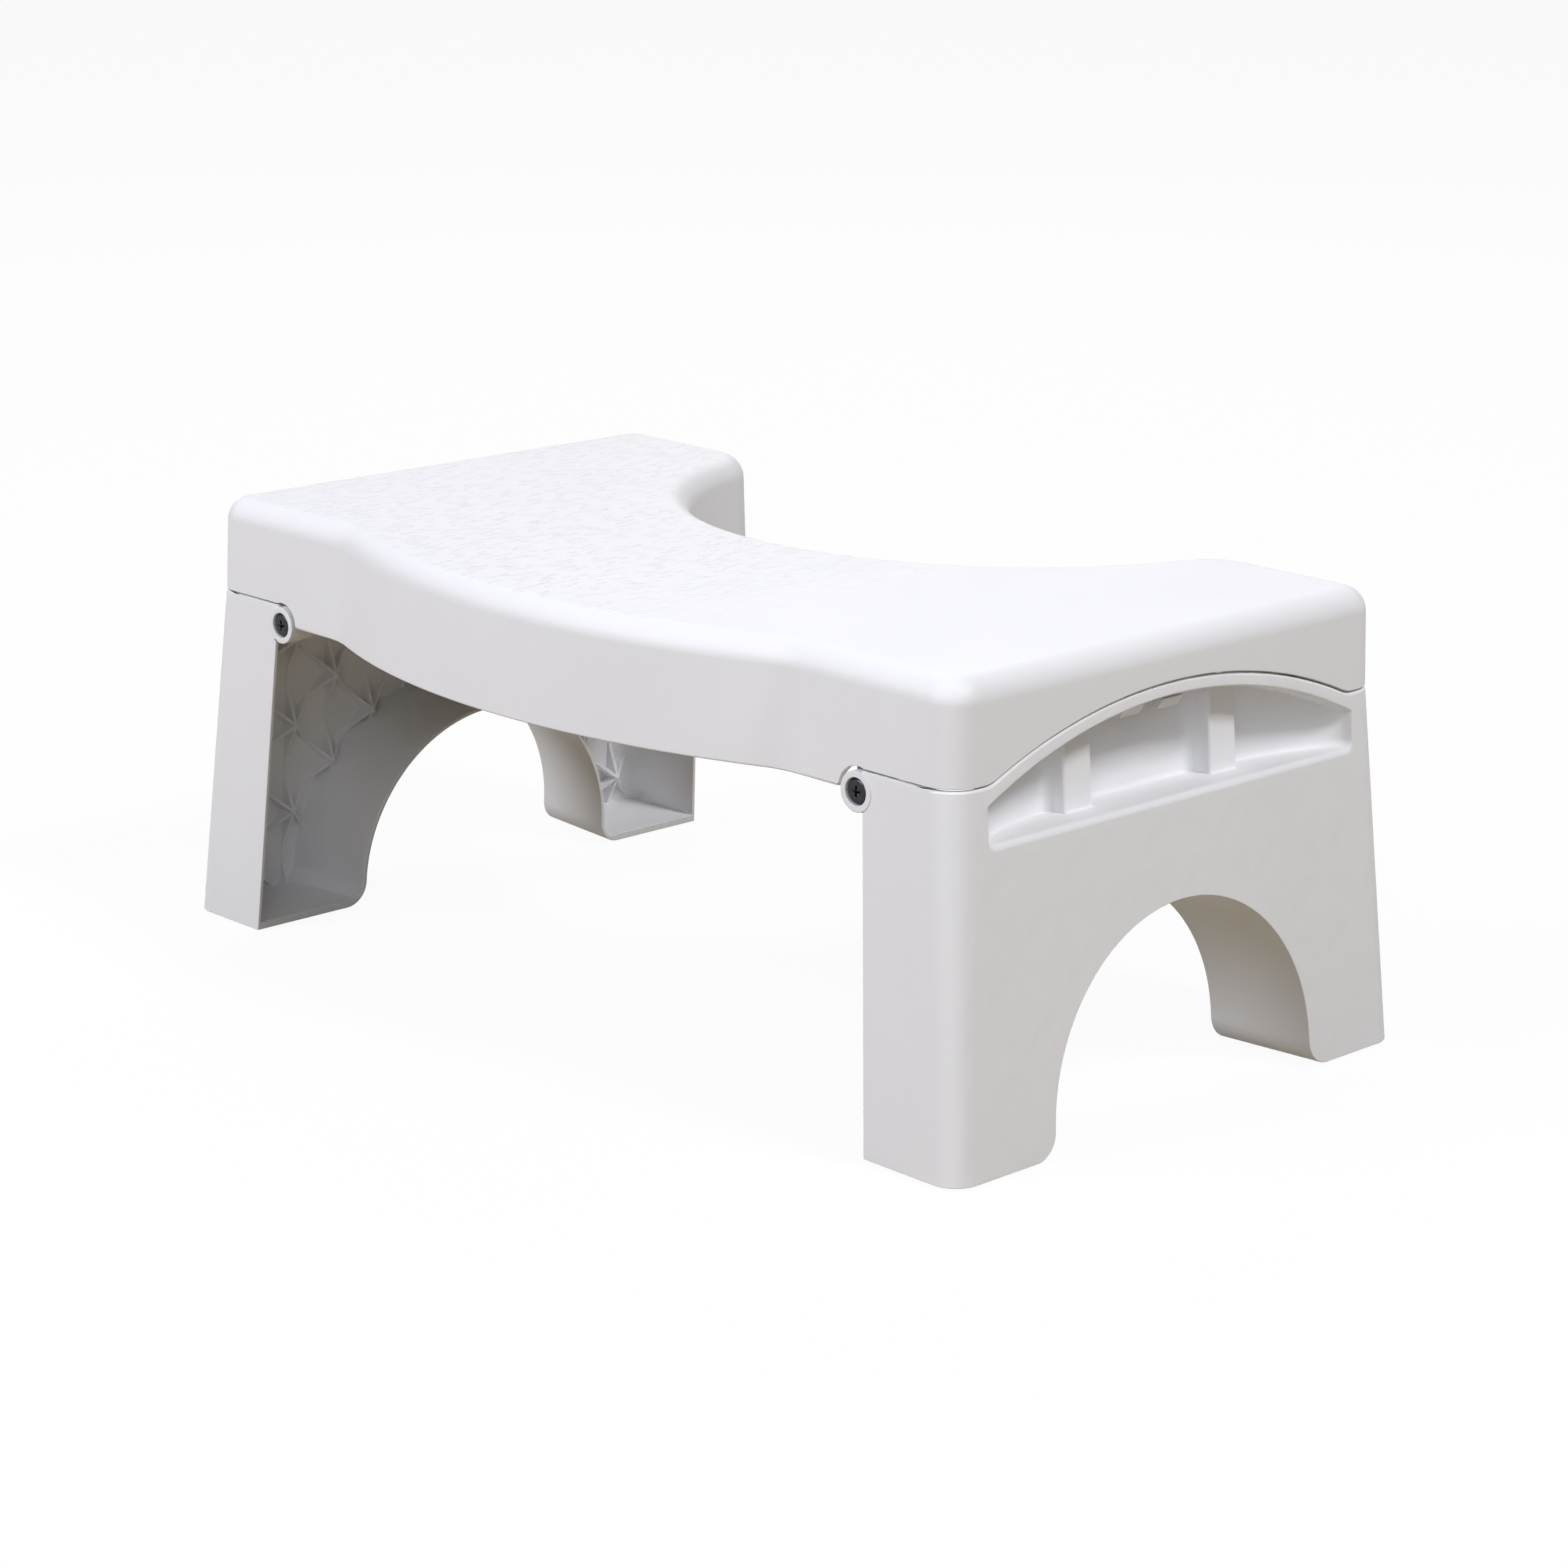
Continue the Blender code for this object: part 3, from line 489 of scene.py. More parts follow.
def place(piece: bpy.types.Object, material: bpy.types.Material, node: str, slot: str,
          body: str) -> None:
    """Give a piece its finish, set it back with the frame and let it stand for its node.

    Args:
        piece: Finished piece.
        material: Its finish.
        node: Node of the frame that it stands for.
        slot: Material slot of the record; not used.
        body: Body that carries it.
    """
    write_points(piece.data, read_points(piece.data) + (0, FRAME_SHIFT, 0))
    piece.data.materials.clear()
    piece.data.materials.append(material)
    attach(piece, body)
    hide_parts(node)
    LOG.info("%s: %d faces for %s on %s", piece.name, len(piece.data.polygons), node, body)


# Finishes


def linear(colour: str) -> tuple[float, float, float, float]:
    """Linear colour of an sRGB hex value, by the standard's curve of a power of 2.4.

    Args:
        colour: Hash sign and six hex digits.

    Returns:
        Red, green and blue, and an opaque alpha.
    """
    value = np.array([int(colour[index:index + 2], 16) / 255 for index in (1, 3, 5)])
    low = value / 12.92
    high = ((value + 0.055) / 1.055) ** 2.4
    red, green, blue = np.where(value <= 0.04045, low, high)
    return float(red), float(green), float(blue), 1.0


def add_node(tree: bpy.types.NodeTree, kind: str,
             settings: Optional[Mapping[str, object]] = None,
             inputs: Optional[Mapping[object, object]] = None,
             links: Optional[Mapping[object, bpy.types.NodeSocket]] = None) -> bpy.types.Node:
    """Add a node with its settings, its sockets' values and its links.

    Args:
        tree: Tree that gets the node.
        kind: Type of the node.
        settings: Values of the node's own properties.
        inputs: Values of its sockets, by name or place.
        links: Sockets that feed its own, by name or place.

    Returns:
        The node.
    """
    node = tree.nodes.new(kind)
    for name, value in (settings or {}).items():
        setattr(node, name, value)
    for name, value in (inputs or {}).items():
        node.inputs[name].default_value = value
    for name, socket in (links or {}).items():
        tree.links.new(socket, node.inputs[name])
    return node


def new_material(name: str) -> tuple[bpy.types.Material, bpy.types.Node]:
    """Material with its Principled shader, and that shader.

    Args:
        name: Name of the finish.

    Returns:
        The material and its shader's node.
    """
    material = bpy.data.materials.new(name)
    material.use_nodes = True
    return material, material.node_tree.nodes["Principled BSDF"]


@dataclass(frozen=True)
class RaisedMarks:
    """Fine raised dashes that give a wet foot some grip, in a generic scatter of their own.

    The real ones are a few tenths of a millimetre wide and are drawn coarser, to show.

    Attributes:
        height: Height of a dash.
        size: Width and length of a dash.
        peaks: Values of the noise between which a dash rises.
        level: Heights between which they come in, just under the top face.
        end: Place along X where they end.
        fade: Distance along X over which they fade towards it.
    """

    height: float = 0.00028
    size: tuple[float, float] = (0.0016, 0.0085)
    peaks: tuple[float, float] = (0.69, 0.76)
    level: tuple[float, float] = (0.1710, 0.1713)
    end: float = 0.120
    fade: float = 0.120

    def bump(self, tree: bpy.types.NodeTree, places: bpy.types.NodeSocket,
             normal: bpy.types.NodeSocket) -> bpy.types.NodeSocket:
        """Dashes across the top: the peaks of a flat noise drawn out along Y.

        Args:
            tree: Tree of the material.
            places: Object coordinates.
            normal: Normal that the marks are added to.

        Returns:
            Socket of the bumped normal.
        """
        drawn = add_node(tree, "ShaderNodeMapping", {},
                         {"Scale": (1 / self.size[0], 1 / self.size[1], 1.0)}, {"Vector": places})
        noise = add_node(tree, "ShaderNodeTexNoise", {"noise_dimensions": "2D"},
                         {"Scale": 1.0, "Detail": 0.0}, {"Vector": drawn.outputs["Vector"]})
        dash = add_node(tree, "ShaderNodeMapRange", {"interpolation_type": "SMOOTHSTEP"},
                        {"From Min": self.peaks[0], "From Max": self.peaks[1]},
                        {"Value": noise.outputs["Fac"]})
        split = add_node(tree, "ShaderNodeSeparateXYZ", {}, {}, {0: places})
        upper = add_node(tree, "ShaderNodeMapRange", {},
                         {"From Min": self.level[0], "From Max": self.level[1]},
                         {"Value": split.outputs["Z"]})
        part = add_node(tree, "ShaderNodeMapRange", {},
                        {"From Min": self.end, "From Max": self.end - self.fade},
                        {"Value": split.outputs["X"]})
        height = dash.outputs["Result"]
        for mask in (upper, part):
            height = add_node(tree, "ShaderNodeMath", {"operation": "MULTIPLY"}, {},
                              {0: height, 1: mask.outputs["Result"]}).outputs[0]
        return add_node(tree, "ShaderNodeBump", {},
                        {"Strength": 1.0, "Distance": self.height},
                        {"Height": height, "Normal": normal}).outputs["Normal"]


@dataclass(frozen=True)
class SinkMarks:
    """Shallow hollows that the ribs behind a wall leave on its face as the melt shrinks.

    Attributes:
        lattice: Pitch, rise and base height of the ribs' lattice, and its slide along Y.
        lean: Lean of the outer face, as X over Z.
        reach: Distance of that face from the middle, at the floor.
        depth: Depth of the marks.
        skin: Depths behind the face between which they fade out, so that no other has them.
        width: Least cosine of a rib's phase that its mark covers.
    """

    lattice: tuple[float, float, float, float]
    lean: float
    reach: float
    depth: float = 0.00010
    skin: tuple[float, float] = (0.0006, 0.0012)
    width: float = 0.45

    def bump(self, tree: bpy.types.NodeTree, places: bpy.types.NodeSocket,
             normal: bpy.types.NodeSocket) -> bpy.types.NodeSocket:
        """Hollows where y / pitch or (z / rise +- y / pitch) / 2 is whole, on the outer face.

        On that face |x| + lean * z is its reach at the floor.

        Args:
            tree: Tree of the material.
            places: Object coordinates.
            normal: Normal that the marks are added to.

        Returns:
            Socket of the bumped normal.
        """
        pitch, rise, base, slide = self.lattice
        split = add_node(tree, "ShaderNodeSeparateXYZ", {}, {}, {0: places})
        side = add_node(tree, "ShaderNodeMath", {"operation": "SIGN"}, {},
                        {0: split.outputs["X"]})
        off = add_node(tree, "ShaderNodeMath", {"operation": "MULTIPLY_ADD"},
                       {1: 1 / pitch, 2: -FRAME_SHIFT / pitch}, {0: split.outputs["Y"]})
        across = add_node(tree, "ShaderNodeMath", {"operation": "MULTIPLY_ADD"},
                          {2: -slide / pitch}, {0: off.outputs[0], 1: side.outputs[0]})
        reach = add_node(tree, "ShaderNodeMath", {"operation": "ABSOLUTE"}, {},
                         {0: split.outputs["X"]})
        outward = add_node(tree, "ShaderNodeMath", {"operation": "MULTIPLY_ADD"},
                           {1: self.lean}, {0: split.outputs["Z"], 2: reach.outputs[0]})
        inside = add_node(tree, "ShaderNodeMapRange", {},
                          {"From Min": self.reach - self.skin[0],
                           "From Max": self.reach - self.skin[1]},
                          {"Value": outward.outputs[0]})
        up = add_node(tree, "ShaderNodeMath", {"operation": "MULTIPLY_ADD"},
                      {1: 1 / rise, 2: -base / rise}, {0: split.outputs["Z"]})
        rising = add_node(tree, "ShaderNodeMath", {"operation": "SUBTRACT"}, {},
                          {0: up.outputs[0], 1: across.outputs[0]})
        falling = add_node(tree, "ShaderNodeMath", {"operation": "ADD"}, {},
                           {0: up.outputs[0], 1: across.outputs[0]})
        marks = []
        for family, turn in ((across, FULL), (rising, HALF), (falling, HALF)):
            phase = add_node(tree, "ShaderNodeMath", {"operation": "MULTIPLY"}, {1: turn},
                             {0: family.outputs[0]})
            wave = add_node(tree, "ShaderNodeMath", {"operation": "COSINE"}, {},
                            {0: phase.outputs[0]})
            mark = add_node(tree, "ShaderNodeMapRange", {"interpolation_type": "SMOOTHSTEP"},
                            {"From Min": self.width, "From Max": 1.0, "To Min": 1.0,
                             "To Max": 0.0}, {"Value": wave.outputs[0]})
            marks.append(mark.outputs["Result"])
        lowest = marks[0]
        for mark in marks[1:]:
            lowest = add_node(tree, "ShaderNodeMath", {"operation": "MINIMUM"}, {},
                              {0: lowest, 1: mark}).outputs[0]
        height = add_node(tree, "ShaderNodeMath", {"operation": "MAXIMUM"}, {},
                          {0: lowest, 1: inside.outputs["Result"]}).outputs[0]
        return add_node(tree, "ShaderNodeBump", {},
                        {"Strength": 1.0, "Distance": self.depth},
                        {"Height": height, "Normal": normal}).outputs["Normal"]


@dataclass(frozen=True)
class MouldedPolypropylene:
    """Injection-moulded polypropylene from a finely eroded mould.

    It gives the eye a satin white: broad soft highlights along the rounded edges, a grain too
    fine to see singly, and slight clouding where the melt flowed.

    Attributes:
        relief: Marks in the surface beside its grain.
        name: Name of the finish.
        colour: Colour of the plastic.
        clouded: Colour where the flow clouds it.
        roughness: Roughness of the gloss, least and most.
        index: Index of refraction of polypropylene.
        specular: Specular level, lowered from 0.5 by the grain's fine shadows.
        grain: Width of the mould's grain. The real 0.1 mm is drawn coarser, to show.
        grain_height: Height of the grain.
        clouds: Width of the flow's clouds.
    """

    relief: Union[RaisedMarks, SinkMarks]
    name: str = "Satin injection-moulded polypropylene"
    colour: str = "#F2F2F4"
    clouded: str = "#EDEDEF"
    roughness: tuple[float, float] = (0.46, 0.56)
    index: float = 1.49
    specular: float = 0.26
    grain: float = 0.0011
    grain_height: float = 0.000010
    clouds: float = 0.045

    def material(self) -> bpy.types.Material:
        """Satin plastic: clouds in colour and roughness, grain and marks as bump.

        Returns:
            The material.
        """
        material, shader = new_material(self.name)
        tree = material.node_tree
        places = add_node(tree, "ShaderNodeTexCoord").outputs["Object"]
        clouds = add_node(tree, "ShaderNodeTexNoise", {"noise_dimensions": "3D"},
                          {"Scale": 1 / self.clouds, "Detail": 3.0, "Roughness": 0.55},
                          {"Vector": places})
        colour = add_node(tree, "ShaderNodeMix", {"data_type": "RGBA"},
                          {6: linear(self.clouded), 7: linear(self.colour)},
                          {0: clouds.outputs["Fac"]})
        tree.links.new(colour.outputs[2], shader.inputs["Base Color"])
        gloss = add_node(tree, "ShaderNodeMapRange", {},
                         {"From Min": 0.3, "From Max": 0.7, "To Min": self.roughness[0],
                          "To Max": self.roughness[1]}, {"Value": clouds.outputs["Fac"]})
        tree.links.new(gloss.outputs["Result"], shader.inputs["Roughness"])
        shader.inputs["IOR"].default_value = self.index
        shader.inputs["Specular IOR Level"].default_value = self.specular
        grain = add_node(tree, "ShaderNodeTexNoise", {"noise_dimensions": "3D"},
                         {"Scale": 1 / self.grain, "Detail": 1.0}, {"Vector": places})
        bump = add_node(tree, "ShaderNodeBump", {},
                        {"Strength": 1.0, "Distance": self.grain_height},
                        {"Height": grain.outputs["Fac"]})
        normal = self.relief.bump(tree, places, bump.outputs["Normal"])
        tree.links.new(normal, shader.inputs["Normal"])
        return material


@dataclass(frozen=True)
class MouldedRubber:
    """Compression-moulded thermoplastic rubber.

    It gives the eye a matt, slightly dusty grey with no clear highlight.

    Attributes:
        name: Name of the finish.
        colour: Colour of the rubber.
        dusty: Colour where dust clings to it.
        dust: Width of the dust's patches.
        roughness: Roughness of the gloss.
        grain: Width of the pebbled grain. The real 0.2 mm is drawn coarser, to show.
        grain_height: Height of the grain.
    """

    name: str = "Moulded grey rubber"
    colour: str = "#A9A9A7"
    dusty: str = "#B8B7B3"
    dust: float = 0.00625
    roughness: float = 0.82
    grain: float = 0.0008
    grain_height: float = 0.00004

    def material(self) -> bpy.types.Material:
        """Matt rubber: a fine pebbled bump and dust in the colour.

        Returns:
            The material.
        """
        material, shader = new_material(self.name)
        tree = material.node_tree
        places = add_node(tree, "ShaderNodeTexCoord").outputs["Object"]
        dust = add_node(tree, "ShaderNodeTexNoise", {},
                        {"Scale": 1 / self.dust, "Detail": 4.0}, {"Vector": places})
        colour = add_node(tree, "ShaderNodeMix", {"data_type": "RGBA"},
                          {6: linear(self.colour), 7: linear(self.dusty)},
                          {0: dust.outputs["Fac"]})
        tree.links.new(colour.outputs[2], shader.inputs["Base Color"])
        shader.inputs["Roughness"].default_value = self.roughness
        pebbles = add_node(tree, "ShaderNodeTexNoise", {}, {"Scale": 1 / self.grain},
                           {"Vector": places})
        bump = add_node(tree, "ShaderNodeBump", {}, {"Distance": self.grain_height},
                        {"Height": pebbles.outputs["Fac"]})
        tree.links.new(bump.outputs["Normal"], shader.inputs["Normal"])
        return material


@dataclass(frozen=True)
class PlatedSteel:
    """Cold-headed steel with a plating, dark or bright.

    It gives the eye small sharp highlights, slightly broken by the plating's grain and a few
    paler spots where the driver has worn it.

    Attributes:
        name: Name of the finish.
        colour: Colour of the plating.
        worn: Colour where it is worn.
        roughness: Roughness of the gloss, least and most.
        grain: Width of the plating's grain. The real 0.05 mm is drawn coarser, to show.
    """

    name: str
    colour: str
    worn: str
    roughness: tuple[float, float]
    grain: float = 0.0006

    def material(self) -> bpy.types.Material:
        """Plated metal: colour and roughness broken by one fine noise.

        Returns:
            The material.
        """
        material, shader = new_material(self.name)
        tree = material.node_tree
        places = add_node(tree, "ShaderNodeTexCoord").outputs["Object"]
        wear = add_node(tree, "ShaderNodeTexNoise", {},
                        {"Scale": 1 / self.grain, "Detail": 3.0, "Roughness": 0.6},
                        {"Vector": places})
        colour = add_node(tree, "ShaderNodeMix", {"data_type": "RGBA"},
                          {6: linear(self.colour), 7: linear(self.worn)},
                          {0: wear.outputs["Fac"]})
        tree.links.new(colour.outputs[2], shader.inputs["Base Color"])
        gloss = add_node(tree, "ShaderNodeMapRange", {},
                         {"To Min": self.roughness[0], "To Max": self.roughness[1]},
                         {"Value": wear.outputs["Fac"]})
        tree.links.new(gloss.outputs["Result"], shader.inputs["Roughness"])
        shader.inputs["Metallic"].default_value = 1.0
        return material


# Platform


@dataclass
class Platform:
    """The moulded platform: a shell with a skirt, ribs, lugs and catch tongues.

    Attributes:
        sizes: Sizes shared with the legs.
        panel: Thickness of the top.
        lean: How much narrower the skirt is at the top than at the seam.
        fillet: Radius of the upper edge.
        belly_depth: Depth of the bulge.
        belly_span: Half its width.
        belly_blend: Radius that leads it into the straight front.
        cut_depth: Depth of the cut-out.
        cut_radius: Radius of the cut-out.
        prong: Radius of the cut-out's two corners.
        rib: Thickness of a rib at its free edge and at its root.
        deep: Height of the ribs between the hinges.
        shallow: Height of the ribs over the legs.
        long_shares: Places of the ribs along X, as shares of the half depth.
        cross_shares: Places of the ribs along Y, as shares of the bay.
        bay_gap: Air between the deep ribs' ends and the room for the ears.
        end_share: Place of the rib over a leg, as a share of the way from hinge to end.
        let_in: How far ribs, lugs and tongues are let into the panel.
        lug_radius: Radius of a lug's foot.
        lug_shoulder: How much wider than its root a lug is on either side.
        tongue_setback: How far behind the leg's face a tongue stands.
        tongue_drop: How far its tip hangs below the pocket's crown.
        nose: Reach and height of its wedge.
        rounding: Radius of the edges in general, and of the skirt's lower rim.
        rim_start: Where that rim starts outside the lugs' faces, as a share of the wall.
    """

    sizes: Sizes
    panel: float = 0.0032
    lean: float = 0.0014
    fillet: float = 0.0088
    belly_depth: float = 0.0256
    belly_span: float = 0.122
    belly_blend: float = 0.040
    cut_depth: float = 0.1084
    cut_radius: float = 0.1235
    prong: float = 0.025
    rib: tuple[float, float] = (0.0015, 0.0021)
    deep: float = 0.025
    shallow: float = 0.008
    long_shares: tuple[float, ...] = (-0.93, -0.56, -0.19, 0.30, 0.66)
    cross_shares: tuple[float, ...] = (-0.98, -0.66, -0.33, 0.0, 0.33, 0.66, 0.98)
    bay_gap: float = 0.0015
    end_share: float = 0.42
    let_in: float = 0.0008
    lug_radius: float = 0.0068
    lug_shoulder: float = 0.0018
    tongue_setback: float = 0.0150
    tongue_drop: float = 0.0085
    nose: tuple[float, float] = (0.0026, 0.0042)
    rounding: tuple[float, float] = (0.0004, 0.0009)
    rim_start: float = 0.6
    piece: Optional[bpy.types.Object] = field(default=None, init=False)

    @property
    def belly_radius(self) -> float:
        """Radius of the bulge, from its width and depth: (w^2 + d^2) / 2d."""
        return (self.belly_span ** 2 + self.belly_depth ** 2) / (2 * self.belly_depth)

    @property
    def belly_centre(self) -> float:
        """Place of the bulge's centre along Y."""
        return self.belly_radius - self.sizes.half_depth - self.belly_depth

    @property
    def cut_centre(self) -> float:
        """Place of the cut-out's centre along Y."""
        return self.sizes.half_depth - self.cut_depth + self.cut_radius

    @property
    def underside(self) -> float:
        """Height of the panel's lower face."""
        return self.sizes.height - self.panel

    @property
    def root(self) -> float:
        """Height of the roots of ribs, lugs and tongues."""
        return self.underside + self.let_in

    def outline(self, inset: float) -> Points:
        """Plan outline drawn in all round by inset: arcs and straights that meet smoothly.

        Args:
            inset: Distance from the outline at the seam.

        Returns:
            Points, anticlockwise.
        """
        length, depth = self.sizes.half_length - inset, self.sizes.half_depth - inset
        corner, prong = self.sizes.corner - inset, self.prong - inset
        cutout, blend = self.cut_radius + inset, self.belly_blend + inset
        belly = self.belly_radius - inset
        front = arc((length - corner, corner - depth), corner, -QUARTER, 0, 14)
        back = arc((length - corner, depth - corner), corner, 0, QUARTER, 14)
        prong_rise = depth - prong - self.cut_centre
        prong_reach = math.sqrt((cutout + prong) ** 2 - prong_rise ** 2)
        meeting = math.atan2(prong_rise, prong_reach)
        tip = arc((prong_reach, depth - prong), prong, QUARTER, HALF + meeting, 26)
        cut = arc((0, self.cut_centre), cutout, meeting, -HALF - meeting, 110)
        drop = self.belly_centre + depth + blend
        reach = math.sqrt((belly + blend) ** 2 - drop ** 2)
        slope = math.atan2(drop, reach)
        ease = arc((reach, -depth - blend), blend, HALF - slope, QUARTER, 12)
        bulge = arc((0, self.belly_centre), belly, slope - HALF, -slope, 90)
        right = np.vstack([front, back, tip])
        return np.vstack([right, cut[1:-1], mirrored(right), mirrored(ease), bulge[1:-1], ease])

    def ring(self, height: float, inset: float) -> Points:
        """Outline at a height, drawn in by inset and by the lean of the sides there."""
        share = (height - self.sizes.seam, self.sizes.height - self.sizes.seam)
        return ring(self.outline(self.lean * share[0] / share[1] + inset), height)

    def rounded_top(self, start: float, radius: float, inset: float, steps: int) -> list[Points]:
        """Rings of a quarter round: start + r sin a, inset + r (1 - cos a)."""
        return [self.ring(start + radius * math.sin(turn), inset + radius * (1 - math.cos(turn)))
                for turn in np.linspace(0, QUARTER, steps + 1)]

    def rib_bar(self, start: Sequence[float], end: Sequence[float],
                low: float) -> bpy.types.Object:
        """Rib with draft between two places of the plan: four corners carried along it.

        Args:
            start: Plan place of one end.
            end: Plan place of the other.
            low: Height of its free edge.

        Returns:
            The rib, its root let into the panel.
        """
        first, last = np.array(start), np.array(end)
        along = (last - first) / np.linalg.norm(last - first)
        across = np.array((-along[1], along[0])) / 2
        tip, foot = across * self.rib[0], across * self.rib[1]
        return skin("rib", [np.array([(*(middle - tip), low), (*(middle + tip), low),
                                      (*(middle + foot), self.root),
                                      (*(middle - foot), self.root)])
                            for middle in (first, last)])

    def ribs(self, room: float) -> list[bpy.types.Object]:
        """Ribs of the underside: deep ones between the hinges, shallow ones over the legs.

        Args:
            room: Distance along Y that is outside the skirt.

        Returns:
            The ribs.
        """
        sizes = self.sizes
        deep, shallow = self.underside - self.deep, self.underside - self.shallow
        bay = sizes.hinge_reach - sizes.boss - sizes.boss_gap - self.bay_gap
        far = sizes.half_length + OVERRUN
        bars = []
        for share in self.long_shares:
            y = sizes.half_depth * share
            bars.append(self.rib_bar((-bay, y), (bay, y), deep))
            bars.append(self.rib_bar((-far, y), (far, y), shallow))
        for share in self.cross_shares:
            bars.append(self.rib_bar((bay * share, -room), (bay * share, room), deep))
        reach = sizes.hinge_reach + (sizes.half_length - sizes.hinge_reach) * self.end_share
        bars += [self.rib_bar((x, -room), (x, room), shallow) for x in (-reach, reach)]
        return bars

    def lugs(self) -> list[bpy.types.Object]:
        """Four plates with round feet that the screws pass through, each with its root.

        Returns:
            The plates and the roots that join them to the skirt.
        """
        sizes = self.sizes
        low_root = sizes.hinge + sizes.boss + 2 * sizes.boss_gap
        root_reach = self.lug_radius - self.lug_shoulder
        parts = []
        for side in Side:
            centre = (side.sign * sizes.hinge_reach, sizes.hinge)
            left, right = centre[0] - self.lug_radius, centre[0] + self.lug_radius
            foot = arc(centre, self.lug_radius, -HALF, 0, 28)
            outline = np.vstack([foot, [(right, self.root), (left, self.root)]])
            for face in Face:
                parts.append(prism("lug", outline, 1,
                                   *span(face.value, sizes.lug_back, sizes.lug_face)))
                low, high = span(face.value, (sizes.lug_back + sizes.lug_face) / 2,
                                 sizes.half_depth - sizes.wall / 2)
                parts.append(box("lug_root", (centre[0] - root_reach, low, low_root),
                                 (centre[0] + root_reach, high, sizes.height - self.fillet)))
        return parts

    def tongues(self) -> list[bpy.types.Object]:
        """Two catch tongues at each end, each a strip with a wedge at its tip.

        Returns:
            The tongues.
        """
        sizes = self.sizes
        width, spacing, thickness = sizes.tongue
        tip = sizes.handle_crown - self.tongue_drop
        front = float(sizes.leg_reach(sizes.handle_crown)) - self.tongue_setback + thickness
        back = front - thickness
        ledge = tip + self.nose[1]
        outline = np.array([(back, tip), (front, tip), (front + self.nose[0], ledge),
                            (front, ledge), (front, self.root), (back, self.root)])
        parts = []
        for shape in (outline, mirrored(outline)):
            for sign in (-1, 1):
                low = sign * spacing / 2 - width / 2
                parts.append(prism("tongue", shape, 1, low, low + width))
        return parts

    def build(self) -> None:
        """Build the moulding: a rounded shell, hollowed round its ribs and cut for the legs."""
        sizes = self.sizes
        wall_top = sizes.height - self.fillet
        shell = skin("platform_moulding", [self.ring(sizes.hinge, 0)]
                     + self.rounded_top(wall_top, self.fillet, 0, 12))
        low = sizes.hinge - OVERRUN
        void = skin("void", [self.ring(low, sizes.wall)] + self.rounded_top(
            wall_top, self.underside - wall_top, sizes.wall, 4))
        room = sizes.half_depth + self.belly_depth + OVERRUN
        combine(void, self.ribs(room), "DIFFERENCE")
        combine(shell, [void], "DIFFERENCE")
        side_room = sizes.half_depth + sizes.leg_side_splay + OVERRUN
        leg_room = np.vstack([sizes.seam_line(0), [(side_room, low), (-side_room, low)]])
        far = sizes.half_length + OVERRUN
        cutters, bores = [], []
        for side in Side:
            centre = (side.sign * sizes.hinge_reach, sizes.hinge)
            cutters.append(prism("leg_room", leg_room, 0,
                                 *span(side.sign, sizes.hinge_reach, far)))
            cutters.append(prism("ear_room", disc(centre, sizes.boss + sizes.boss_gap, 72), 1,
                                 -room, room))
            bores.append(prism("bore", disc(centre, sizes.shank + sizes.bore_gap, 32), 1,
                               -room, room))
        combine(shell, cutters, "DIFFERENCE")
        combine(shell, self.lugs() + self.tongues(), "UNION")
        combine(shell, bores, "DIFFERENCE")
        tidy(shell)
        self.piece = shell

    def on_rim(self, points: Points) -> Points:
        """Whether points are of the skirt's lower rim, outside the lugs.

        Args:
            points: Places on the platform.

        Returns:
            A truth value for each.
        """
        low = np.abs(points[:, 2] - self.sizes.hinge) < ON_EDGE
        outside = self.sizes.lug_face + self.sizes.wall * self.rim_start
        return low & (np.abs(points[:, 1]) > outside)

    def dress(self, plastic: bpy.types.Material) -> None:
        """Round the edges and set the moulding in place.

        Args:
            plastic: Finish of the moulding.
        """
        general, rim = self.rounding
        round_edges(self.piece, [Rounding(general), Rounding(rim, self.on_rim)])
        place(self.piece, plastic, "top_platform", "white_polypropylene", "platform")


# Legs


